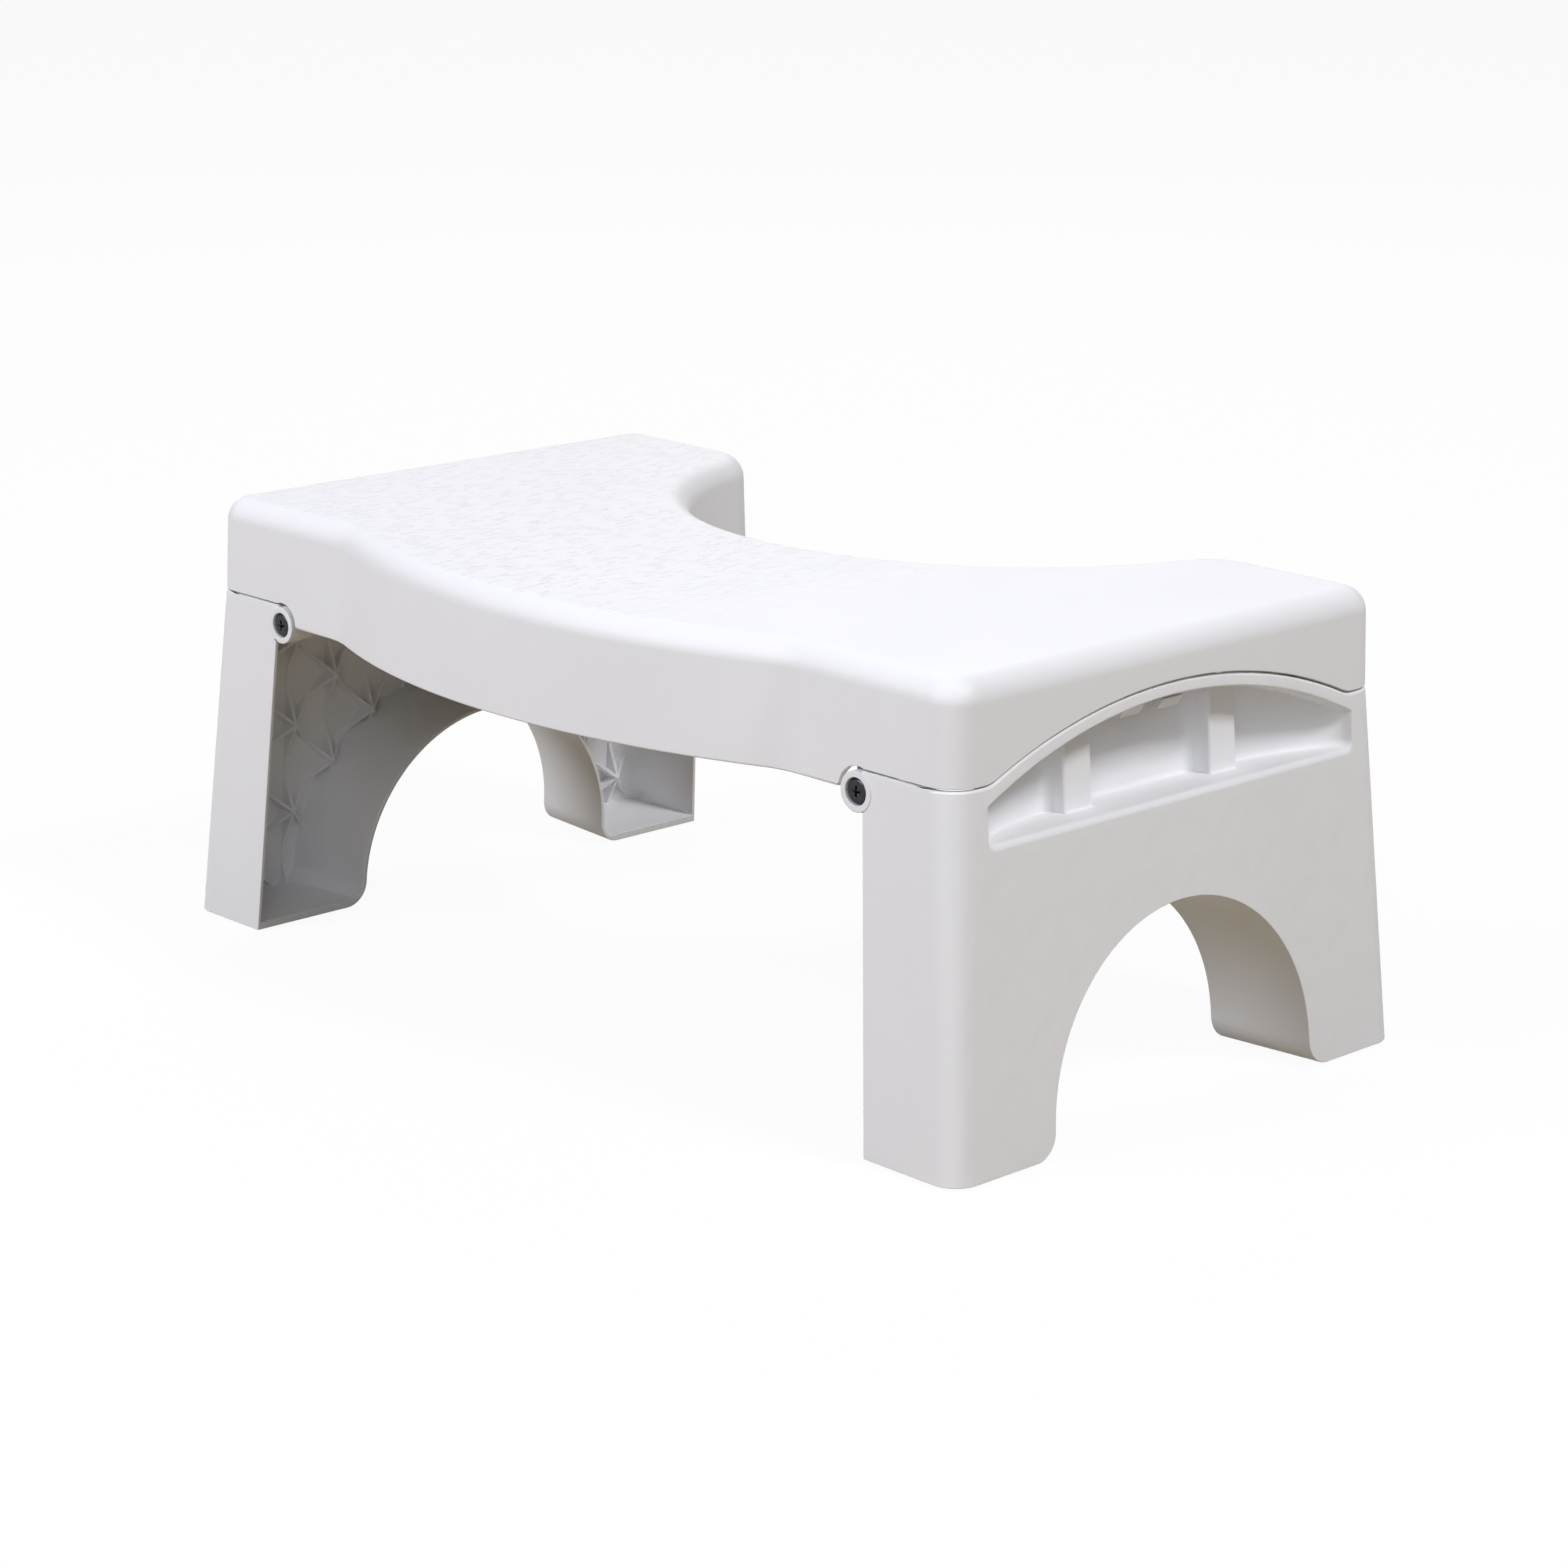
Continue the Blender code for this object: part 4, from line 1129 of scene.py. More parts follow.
@dataclass
class Leg:
    """A moulded leg: a channel open inwards, with a tunnel, a finger pocket and a lattice.

    Attributes:
        sizes: Sizes shared with the platform.
        sole: Height of the foot's underside above the floor, the pads' thickness outside.
        foot_plate: Thickness of the foot's sole.
        free_edge: Thickness of the walls at the open side, to which they taper.
        foot_corner: Plan radius of the leg's corners at the floor.
        flange: Width of the side flanges at the seam and at the foot.
        tunnel: Radius of the tunnel on the outer face.
        tunnel_taper: How much narrower it is at the open side.
        foot_round: Radius of the feet's corners beside the tunnel.
        handle_width: Half the width of the finger pocket.
        handle_rise: Height of the pocket at its crown.
        handle_end: Height of its upright ends.
        handle_corner: Radius of its lower corners.
        lip: Radius of the pocket's edge on the outer face, at the crown and at the sill.
        pocket_depth: Depth of the pocket in its middle.
        pocket_curve: Distance from its ends over which the back wall curves forward.
        pocket_fillet: Radius between its floor and its back wall.
        post: Spacing and width of the two posts, and the depth of their front faces.
        post_fillet: Radius of the fillets between a post and the back wall.
        trim: Air between the leg's arched top edge and the platform.
        lattice: Pitch, rise and base height of the lattice, and its slide along Y.
        bar: Thickness of a lattice rib at its free edge and at its root.
        slanting: Height of the slanting ribs between the crossings and on them.
        upright: The same of the upright ribs.
        arm: Length of a star's arms, as a share of the way to the next crossing.
        least_run: Share of that way below which a rib's end run has no corner of its own.
        stagger: How much lower the falling family's ribs are than the rising one's.
        lattice_room: Depths behind the face between which the lattice's edges lie.
        pad: Margin of a pad's recess in the foot, the radius of its corners and its height.
        window: How far the catch window reaches below the pocket's crown, and its setback.
        rounding: Radius of the edges in general, of the arched top edge and of the posts.
        arch_band: Depth behind the seam over which the top edge has its own radius.
    """

    sizes: Sizes
    sole: float = 0.0010
    foot_plate: float = 0.0030
    free_edge: float = 0.0013
    foot_corner: float = 0.0105
    flange: tuple[float, float] = (0.0420, 0.0433)
    tunnel: float = 0.0677
    tunnel_taper: float = 0.0044
    foot_round: float = 0.0095
    handle_width: float = 0.0948
    handle_rise: float = 0.0352
    handle_end: float = 0.0131
    handle_corner: float = 0.0030
    lip: tuple[float, float] = (0.0008, 0.0026)
    pocket_depth: float = 0.0225
    pocket_curve: float = 0.0780
    pocket_fillet: float = 0.0020
    post: tuple[float, float, float] = (0.0758, 0.0142, 0.0120)
    post_fillet: float = 0.0045
    trim: float = 0.0007
    lattice: tuple[float, float, float, float] = (0.0197, 0.0185, 0.0354, -0.0030)
    bar: tuple[float, float] = (0.0011, 0.0018)
    slanting: tuple[float, float] = (0.0016, 0.0074)
    upright: tuple[float, float] = (0.0008, 0.0070)
    arm: float = 0.38
    least_run: float = 0.03
    stagger: float = 0.0002
    lattice_room: tuple[float, float] = (0.0012, 0.0120)
    pad: tuple[float, float, float] = (0.0055, 0.0040, 0.0015)
    window: tuple[float, float] = (0.0050, 0.0060)
    rounding: tuple[float, float, float] = (0.00035, 0.0010, 0.0012)
    arch_band: float = 0.012
    pieces: dict[Side, bpy.types.Object] = field(default_factory=dict, init=False)

    @property
    def sill(self) -> float:
        """Height of the pocket's sill."""
        return self.sizes.handle_crown - self.handle_rise

    @property
    def crown_radius(self) -> float:
        """Radius of the pocket's crown, from its width and its rise over the ends."""
        drop = self.handle_rise - self.handle_end
        return (self.handle_width ** 2 + drop ** 2) / (2 * drop)

    def half_depth(self, height: float) -> float:
        """Distance of the side faces from the middle plane, at a height."""
        sizes = self.sizes
        return sizes.half_depth + sizes.leg_side_splay * (sizes.seam - height) / sizes.seam

    def inner_edge(self, height: float) -> float:
        """Distance of the open side from the stool's middle, at a height."""
        share = (self.sizes.seam - height) / self.sizes.seam
        width = self.flange[0] + (self.flange[1] - self.flange[0]) * share
        return float(self.sizes.leg_reach(height)) - width

    def plan(self, height: float, inset: float, opening: float) -> Points:
        """Plan ring of the channel at a height: two rounded corners, open side moved in.

        Args:
            height: Height of the ring.
            inset: Distance inside the outer faces.
            opening: How far past the open side the ring runs.

        Returns:
            Points in space.
        """
        share = (self.sizes.seam - height) / self.sizes.seam
        corner = self.sizes.corner + (self.foot_corner - self.sizes.corner) * share - inset
        reach = float(self.sizes.leg_reach(height)) - inset
        depth = self.half_depth(height) - inset
        inner = self.inner_edge(height) - opening
        open_depth = depth + max(0.0, inset - self.free_edge)
        front = arc((reach - corner, corner - depth), corner, -QUARTER, 0, 14)
        outline = np.vstack([[(inner, -open_depth)], front, flipped(front),
                             [(inner, open_depth)]])
        return ring(outline, height)

    def on_face(self, outline: Points, inset: Union[float, Points]) -> Points:
        """Ring of an outline (y, z) on the leaning outer face, moved square into the leg.

        Args:
            outline: Outline on the face.
            inset: Distance behind the face, of the ring or of each point.

        Returns:
            Points in space.
        """
        sizes = self.sizes
        return np.column_stack([sizes.leg_reach(outline[:, 1]) - inset, outline[:, 0],
                                outline[:, 1] - sizes.leg_splay / sizes.seam * inset])

    def tunnel_solid(self, name: str, grow: float) -> bpy.types.Object:
        """Tunnel: a half round on two feet's corners, carried through and slightly tapered.

        Args:
            name: Name of the object.
            grow: Thickness of wall round the tunnel at the face, thinner at the open side.

        Returns:
            The tunnel, or the solid that its wall is left from.
        """
        spring = self.sole + self.foot_round
        reach = self.sizes.half_length + self.sizes.leg_splay
        far = reach - self.flange[1] - OVERRUN - self.sizes.leg_splay
        rings = []
        for x, wall in ((reach + OVERRUN, grow), (far, min(grow, self.free_edge))):
            radius = self.tunnel - self.tunnel_taper * (reach - x) / self.flange[1]
            foot = arc((radius + self.foot_round, spring), self.foot_round - wall, -QUARTER,
                       -HALF, 12)
            arch = arc((0, spring), radius + wall, 0, HALF, 96)
            right = np.vstack([[(radius + self.foot_round, -OVERRUN)], foot])
            outline = np.vstack([right, arch[1:-1], mirrored(right)])
            rings.append(np.insert(outline, 0, x, axis=1))
        return skin(name, rings)

    def handle(self, grow: float) -> Points:
        """Pocket's outline on the face: level sill, upright ends, arched crown.

        Args:
            grow: How far it is drawn outwards.

        Returns:
            Points (y, z), anticlockwise.
        """
        width, sill = self.handle_width + grow, self.sill - grow
        corner, radius = self.handle_corner + grow, self.crown_radius + grow
        shoulder = math.acos(width / radius)
        low = arc((width - corner, sill + corner), corner, -QUARTER, 0, 10)
        crown = arc((0, self.sizes.handle_crown - self.crown_radius), radius, shoulder,
                    HALF - shoulder, 60)
        return np.vstack([low, crown, mirrored(low)])

    def pocket_wall(self, across: Points, grow: float = 0.0) -> Points:
        """Depth of the pocket's back wall at distances from the middle plane.

        It is depth * sqrt(1 - (1 - n / c)^2) with n the distance from the pocket's end and c
        the length of the curve: half an ellipse with a straight middle.

        Args:
            across: Distances from the middle plane.
            grow: Thickness of wall round the pocket.

        Returns:
            A depth behind the face for each.
        """
        near_end = np.clip(self.handle_width + grow - np.abs(across), 0, self.pocket_curve)
        return (self.pocket_depth + grow) * np.sqrt(1 - (1 - near_end / self.pocket_curve) ** 2)

    def pocket_ring(self, grow: float, turn: float) -> Points:
        """Ring of the pocket at depth * sin t, each end drawn in by c * (1 - cos t).

        The lower corners move in with the ends and the crown is cut off by them. Near the
        back the floor rises by f * (1 - sqrt(1 - u^2)), u the share of the fillet f passed.

        Args:
            grow: Thickness of wall round the pocket.
            turn: Angle t, up to a quarter turn.

        Returns:
            Points in space.
        """
        outline = self.handle(grow)
        narrow = self.pocket_curve * (1 - math.cos(turn))
        depth = (self.pocket_depth + grow) * math.sin(turn)
        reach = np.abs(outline[:, 0])
        low = outline[:, 1] < self.sill + self.handle_corner
        cut = np.where(low, reach - narrow, np.minimum(reach, self.handle_width + grow - narrow))
        passed = max(0.0, 1 - (self.pocket_depth + grow - depth) / self.pocket_fillet)
        rise = self.pocket_fillet * (1 - math.sqrt(1 - passed ** 2))
        height = np.maximum(outline[:, 1], self.sill - grow + rise)
        return self.on_face(np.column_stack([np.sign(outline[:, 0]) * cut, height]), depth)

    def pocket_solid(self, name: str, grow: float) -> bpy.types.Object:
        """Pocket carried into the leg as far as its curved back wall.

        Args:
            name: Name of the object.
            grow: Thickness of wall round the pocket, or none for the pocket itself.

        Returns:
            The wall's housing, or the pocket with its edge rounded outwards: inset
            r (1 - cos t) and r (1 - sin t) outside the outline, r the edge's radius there.
        """
        outline = self.handle(grow)
        rings = [self.on_face(outline, grow / 2)]
        if grow == 0:
            chord = np.roll(outline, -1, axis=0) - outline
            normal = np.column_stack([chord[:, 1], -chord[:, 0]])
            normal /= np.linalg.norm(normal, axis=1)[:, None]
            before = np.roll(normal, 1, axis=0)
            outward = (normal + before) / (1 + np.sum(normal * before, axis=1))[:, None]
            share = np.clip((self.sill + self.handle_corner - outline[:, 1])
                            / self.handle_corner, 0, 1)
            radius = self.lip[0] + (self.lip[1] - self.lip[0]) * share
            spread = outward * radius[:, None]
            # The edge starts a hair proud of the face, so that the cut leaves no film there.
            rings = [self.on_face(outline + spread, -OVERRUN)]
            rings += [self.on_face(outline + spread * (1 - math.sin(turn)),
                                   radius * (1 - math.cos(turn)) - MERGE * 1.5)
                      for turn in np.linspace(0, QUARTER, 7)]
        # The walls start just behind the edge's deepest ring, so that no two rings meet.
        start = math.asin((self.lip[1] + MERGE * 30) / self.pocket_depth)
        rings += [self.pocket_ring(grow, turn) for turn in np.linspace(start, QUARTER, 25)]
        return skin(name, rings)

    def posts(self) -> list[bpy.types.Object]:
        """Two posts, each led into the pocket's back wall by fillets.

        A fillet's points are r (1 - cos t) outside the post's side and r sin t behind the
        fillet's start, with t from 0 to a quarter turn.

        Returns:
            The posts.
        """
        sizes = self.sizes
        spacing, width, front = self.post
        centre = sizes.handle_crown - self.crown_radius
        turn = np.linspace(0, QUARTER, 9)
        behind = np.concatenate([-self.post_fillet * (1 - np.sin(turn)), [sizes.wall / 2]])
        flare = np.concatenate([self.post_fillet * (1 - np.cos(turn)), [self.post_fillet]])
        right, left = [], []
        for back, wider in zip(np.insert(behind, 0, 0.0), np.insert(flare, 0, 0.0)):
            near, away = (spacing - width) / 2 - wider, (spacing + width) / 2 + wider
            side = np.array([near, away, away, near])
            top = centre + np.sqrt(self.crown_radius ** 2 - side ** 2) + sizes.wall / 2
            low = np.full(4, self.sill - sizes.wall / 2)
            outline = np.column_stack([side, np.where([False, False, True, True], top, low)])
            inset = self.pocket_wall(side) + back if right else np.full(4, front)
            right.append(self.on_face(outline, inset))
            left.append(self.on_face(mirrored(outline), inset[::-1]))
        return [skin("post", rings) for rings in (right, left)]

    def lattice_bar(self, start: Sequence[float], end: Sequence[float], stops: Points,
                    heights: tuple[float, float]) -> bpy.types.Object:
        """Rib behind the outer face, high where it crosses others and low between them.

        Its height falls evenly from the crossing to the arm's end and stays low between.

        Args:
            start: First place (y, z) on the outer face.
            end: Last place.
            stops: Phase of the crossings along it, whole at each crossing, at both ends.
            heights: Height between the crossings and on them.

        Returns:
            The rib, its root let into the wall.
        """
        first, last = np.array(start), np.array(end)
        run = last - first
        crossing = np.arange(math.floor(stops[0]), math.ceil(stops[1]) + 1)
        kinks = (crossing[:, None] + np.array([-self.arm, 0, self.arm])).ravel()
        kinks = kinks[(kinks > stops[0] + self.least_run) & (kinks < stops[1] - self.least_run)]
        phase = np.concatenate([stops[:1], kinks, stops[1:]])
        middle = first + run * ((phase - stops[0]) / (stops[1] - stops[0]))[:, None]
        away = np.abs(phase - np.round(phase))
        height = heights[0] + (heights[1] - heights[0]) * np.clip(1 - away / self.arm, 0, 1)
        across = np.array((-run[1], run[0])) / np.linalg.norm(run) / 2
        root, foot = np.full(len(phase), self.sizes.wall / 2), np.full(len(phase), self.bar[1])
        draft = (self.bar[1] - self.bar[0]) / (self.sizes.wall / 2 + heights[1])
        edge, top = foot - draft * (root + height), self.sizes.wall + height
        offset = np.stack([-foot, foot, edge, -edge], axis=1)
        inset = np.stack([root, root, top, top], axis=1)
        places = middle[:, None, :] + across * offset[:, :, None]
        reach = self.sizes.leg_reach(places[:, :, 1]) - inset
        return skin("lattice_bar", list(np.concatenate([reach[:, :, None], places], axis=2)))

    def lattice_bars(self) -> list[bpy.types.Object]:
        """Upright ribs and two families of slanting ones, through the same crossings.

        Returns:
            The ribs.
        """
        pitch, rise, base, slide = self.lattice
        floor = self.sole + self.foot_plate / 2
        ceiling = self.sill - self.sizes.wall / 2
        depth = self.half_depth(0) - self.sizes.wall / 2
        bars = []
        first, last = math.ceil((slide - depth) / pitch) + 1, int((depth + slide) / pitch)
        for column in range(first, last + 1):
            y, low = pitch * column + slide, floor
            if abs(y) < self.tunnel + self.sizes.wall:
                low = self.sole + self.sizes.wall / 2 + math.sqrt(
                    self.tunnel ** 2 - min(abs(y), self.tunnel) ** 2)
            stops = np.array([(z - base - rise * column) / (2 * rise) for z in (low, ceiling)])
            bars.append(self.lattice_bar((y, low), (y, ceiling), stops, self.upright))
        slope = rise / pitch
        first = math.ceil((floor - base - slope * 2 * depth) / (2 * rise))
        last = int((ceiling - base + slope * 2 * depth) / (2 * rise))
        for middle in base + 2 * rise * np.arange(first, last + 1):
            for lean, lower in ((slope, 0.0), (-slope, self.stagger)):
                ends = sorted(((floor - middle) / lean, (ceiling - middle) / lean))
                start, end = max(-depth - slide, ends[0]), min(depth - slide, ends[1])
                if end - start > pitch / 2:
                    heights = (self.slanting[0] - lower, self.slanting[1] - lower)
                    bars.append(self.lattice_bar(
                        (start + slide, middle + lean * start), (end + slide, middle + lean * end),
                        np.array([start, end]) / pitch, heights))
        return bars

    def pad_plan(self, clearance: float) -> Points:
        """Rounded rectangle under the +Y foot.

        Args:
            clearance: Air round the pad, for its recess.

        Returns:
            Points, anticlockwise.
        """
        margin, corner, _ = self.pad
        inner = self.inner_edge(0) + margin - clearance
        outer = self.sizes.half_length + self.sizes.leg_splay - margin + clearance
        near = self.tunnel + self.foot_round + margin / 2 - clearance
        far = self.half_depth(0) - margin + clearance
        return np.vstack([arc((outer - corner, near + corner), corner, -QUARTER, 0, 8),
                          arc((outer - corner, far - corner), corner, 0, QUARTER, 8),
                          arc((inner + corner, far - corner), corner, QUARTER, HALF, 8),
                          arc((inner + corner, near + corner), corner, HALF, HALF + QUARTER, 8)])

    def build(self) -> None:
        """Build the right leg, and the left one as a copy, which dress turns about Z."""
        sizes = self.sizes
        leg = skin("leg_moulding", [self.plan(height, 0, 0) for height in
                                    (self.sole, sizes.seam, sizes.clear_height)])
        over = sizes.clear_height + OVERRUN
        void = skin("void", [self.plan(height, sizes.wall, OVERRUN) for height in
                             (self.sole + self.foot_plate, sizes.seam, over)])
        kept = [self.tunnel_solid("tunnel_wall", sizes.wall),
                self.pocket_solid("housing", sizes.wall)]
        combine(void, kept + self.lattice_bars(), "DIFFERENCE")
        side_room = sizes.half_depth + sizes.leg_side_splay + OVERRUN
        above = np.vstack([sizes.seam_line(self.trim), [(side_room, over), (-side_room, over)]])
        far = sizes.half_length + sizes.leg_splay + OVERRUN
        trim = prism("trim", above, 0, self.inner_edge(sizes.seam) - OVERRUN, far)
        combine(leg, [void, self.tunnel_solid("tunnel", 0), trim,
                      self.pocket_solid("pocket", 0)], "DIFFERENCE")
        centre = (sizes.hinge_reach, sizes.hinge)
        ears = []
        for face in Face:
            ears.append(prism("ear", disc(centre, sizes.boss, 72), 1,
                              *span(face.value, sizes.ear_face - sizes.ear, sizes.ear_face)))
        combine(leg, ears + self.posts(), "UNION")
        width, spacing, _ = sizes.tongue
        half_window = (spacing + width) / 2 + sizes.tongue_gap
        reach = float(sizes.leg_reach(sizes.handle_crown))
        drop, setback = self.window
        cutters = [box("catch_window", (reach - self.pocket_depth - sizes.wall - OVERRUN,
                                        -half_window, sizes.handle_crown - drop),
                       (reach - setback, half_window, sizes.clear_height)),
                   prism("bore", disc(centre, sizes.shank + sizes.bore_gap, 32), 1,
                         -side_room, side_room)]
        for face in Face:
            cutters.append(prism("sink", disc(centre, sizes.sink, 64), 1,
                                 *span(face.value, sizes.ear_face - sizes.sink_depth,
                                       side_room)))
        recess = self.pad_plan(sizes.seat_gap)
        for shape in (recess, flipped(recess)):
            cutters.append(prism("pad_recess", shape, 2, -OVERRUN, self.sole + self.pad[2]))
        combine(leg, cutters, "DIFFERENCE")
        tidy(leg)
        self.pieces[Side.RIGHT] = leg
        leg.name = "right_leg_moulding"
        other = bpy.data.objects.new("left_leg_moulding", leg.data.copy())
        bpy.context.scene.collection.objects.link(other)
        self.pieces[Side.LEFT] = other

    def on_arch(self, points: Points) -> Points:
        """Whether points are of the arched top edge, behind the outer face alone.

        Args:
            points: Places on the right leg.

        Returns:
            A truth value for each.
        """
        seam = self.sizes.seam_line(self.trim)
        line = np.interp(points[:, 1], seam[:, 0], seam[:, 1])
        outer = points[:, 0] > self.sizes.half_length - self.arch_band
        return outer & (np.abs(points[:, 2] - line) < ON_EDGE)

    def on_post(self, points: Points) -> Points:
        """Whether points are of the posts' front faces.

        Args:
            points: Places on the right leg.

        Returns:
            A truth value for each.
        """
        spacing, width, front = self.post
        depth = self.sizes.leg_reach(points[:, 2]) - points[:, 0]
        beside = np.abs(np.abs(points[:, 1]) - spacing / 2) < width / 2 + ON_FACE
        return beside & (np.abs(depth - front) < ON_FACE)

    def on_lattice(self, points: Points) -> Points:
        """Whether points are of the lattice, whose short edges are sharp at the crossings.

        Args:
            points: Places on the right leg.

        Returns:
            A truth value for each.
        """
        depth = self.sizes.leg_reach(points[:, 2]) - points[:, 0]
        near, far = self.lattice_room
        low, high = self.sole + self.foot_plate / 2, self.sill - self.sizes.wall / 2
        level = (points[:, 2] > low) & (points[:, 2] < high + ON_FACE)
        return level & (depth > near) & (depth < far)

    def dress(self, plastic: bpy.types.Material) -> None:
        """Round the edges, turn the left leg's shape and set both legs in place.

        Args:
            plastic: Finish of the mouldings.
        """
        general, arch, post = self.rounding
        rules = [Rounding(general), Rounding(0.0, self.on_lattice), Rounding(arch, self.on_arch),
                 Rounding(post, self.on_post)]
        for side, piece in self.pieces.items():
            round_edges(piece, rules)
            turn = (math.cos(side.value), math.cos(side.value), 1)
            write_points(piece.data, read_points(piece.data) * turn)
            place(piece, plastic, side.word + "_leg", "white_polypropylene", side.word + "_leg")


# Pivots


@dataclass
class Pivot:
    """A pan-head screw with its washer and lock nut, drawn along +Y through one ear.

    Attributes:
        sizes: Sizes shared with the legs.
        head: Radius, height and edge radius of the screw's head.
        dome: Width and rise of the head's domed rim, and radius and rise of its middle.
        plug: Radius, as a share of the shank's, and length of the head's end in the thread.
        recess: Length, width and depth of its cross, and where its draft starts over the head.
        recess_draft: Length and width of the cross's bottom, as shares of its mouth's.
        washer: Radius, thickness and width of its broken corners.
        nut: Width across flats, height, and height of the collar.
        chamfer: Height of the nut's chamfer, how far it cuts its corners, and its slope.
        collar_wall: Wall of the nut's collar.
        broken: Width of the broken corners of the head and the nut.
        collar_edge: Width of the collar's broken corner.
        end_proud: How far the screw's end stands out of the nut.
        thread: Pitch and depth of the screw's thread.
        point: How much narrower than the thread's core the screw's end is.
        rounding: Radius of the edges.
    """

    sizes: Sizes
    head: tuple[float, float, float] = (0.0046, 0.0038, 0.0011)
    dome: tuple[float, float, float, float] = (0.0010, 0.00004, 0.0004, 0.00008)
    plug: tuple[float, float] = (0.9, 0.0004)
    recess: tuple[float, float, float, float] = (0.0046, 0.0011, 0.0015, 0.0005)
    recess_draft: tuple[float, float] = (1 / 2, 2 / 3)
    washer: tuple[float, float, float] = (0.0050, 0.0010, 0.00015)
    nut: tuple[float, float, float] = (0.0080, 0.0032, 0.0014)
    chamfer: tuple[float, float, float] = (0.0007, 0.0009, 1.6)
    collar_wall: float = 0.0006
    broken: float = 0.0002
    collar_edge: float = 0.0003
    end_proud: float = 0.0012
    thread: tuple[float, float] = (0.0008, 0.00045)
    point: float = 0.0005
    rounding: float = 0.00008

    @property
    def washer_face(self) -> float:
        """Distance of the washer's outer face from the middle plane."""
        return self.sizes.lug_back - self.sizes.seat_gap

    @property
    def nut_face(self) -> float:
        """Distance of the nut's outer face from the middle plane."""
        return self.washer_face - self.washer[1] - self.sizes.seat_gap

    @property
    def screw_end(self) -> float:
        """Distance of the screw's end from the middle plane."""
        return self.nut_face - self.nut[1] - self.nut[2] - self.end_proud

    def revolve(self, name: str, radius: Points, distance: Points, sides: int,
                closed: bool) -> bpy.types.Object:
        """Surface about Y: (r cos a, distance, r sin a), where r may change with a.

        Args:
            name: Name of the object.
            radius: Radius of each ring, or of each ring's every point.
            distance: Place of each ring along Y.
            sides: Points in a ring.
            closed: Whether the last ring joins the first, as in a washer.

        Returns:
            The object.
        """
        angle = np.arange(sides) * FULL / sides
        spread = np.broadcast_to(radius if radius.ndim == 2 else radius[:, None],
                                 (len(distance), sides))
        grid = np.stack([spread * np.cos(angle),
                         np.broadcast_to(distance[:, None], spread.shape),
                         spread * np.sin(angle)], axis=-1)
        return skin(name, list(grid), closed)

    def build_screw(self) -> bpy.types.Object:
        """Screw: a turned head with a tapered cross, on a shank with a helical thread.

        The thread's radius is r - depth * |2 f - 1|, where f is the part after the point of
        distance / pitch - angle / turn.

        Returns:
            The screw.
        """
        sizes = self.sizes
        radius, height, edge = self.head
        share, overlap = self.plug
        seat, top = sizes.screw_seat, sizes.screw_seat + height
        rim_width, rim_rise, middle, middle_rise = self.dome
        rim = arc((radius - edge, top - edge), edge, 0, QUARTER, 8)
        profile = np.vstack([[(sizes.shank * share, seat - overlap), (sizes.shank * share, seat),
                              (radius - self.broken, seat), (radius, seat + self.broken)], rim,
                             [(radius - edge - rim_width, top + rim_rise),
                              (middle, top + middle_rise)]])
        head = self.revolve("screw", profile[:, 0], profile[:, 1], 48, False)
        length, width, depth, over = self.recess
        mouth = np.array([(-length, -width), (length, -width), (length, width),
                          (-length, width)]) / 2
        for plan in (mouth, mouth[:, ::-1][::-1]):
            draft = self.recess_draft if plan is mouth else self.recess_draft[::-1]
            rings = [np.insert(plan, 1, top + over, axis=1),
                     np.insert(plan * draft, 1, top - depth, axis=1)]
            combine(head, [skin("slot", rings)], "DIFFERENCE")
        pitch, deep = self.thread
        steps = int((seat - self.screw_end) / pitch * 10)
        sides = 24
        along = np.linspace(self.screw_end + overlap, seat + overlap, steps)
        part = (along[:, None] / pitch - np.arange(sides) / sides) % 1.0
        core = np.full(sides, sizes.shank - deep - self.point)
        shank = np.vstack([core, sizes.shank - deep * np.abs(2 * part - 1)])
        along = np.concatenate([[self.screw_end], along])
        return self.joined(head, self.revolve("thread", shank, along, sides, False))

    @staticmethod
    def joined(piece: bpy.types.Object, other: bpy.types.Object) -> bpy.types.Object:
        """Put another closed mesh into a piece's own, as a second shell.

        Args:
            piece: Piece that keeps the result.
            other: Piece that is used up.

        Returns:
            The first piece.
        """
        data = bmesh.new()
        data.from_mesh(piece.data)
        data.from_mesh(other.data)
        data.to_mesh(piece.data)
        data.free()
        bpy.data.objects.remove(other, do_unlink=True)
        return piece

    def build_washer(self) -> bpy.types.Object:
        """Washer: a ring whose section is a rectangle with broken corners.

        Returns:
            The washer.
        """
        outer, thick, edge = self.washer
        inner = self.sizes.shank + self.sizes.bore_gap
        high = self.washer_face
        low = high - thick
        section = np.array([(inner, low + edge), (inner + edge, low), (outer - edge, low),
                            (outer, low + edge), (outer, high - edge), (outer - edge, high),
                            (inner + edge, high), (inner, high - edge)])
        return self.revolve("washer", section[:, 0], section[:, 1], 48, True)

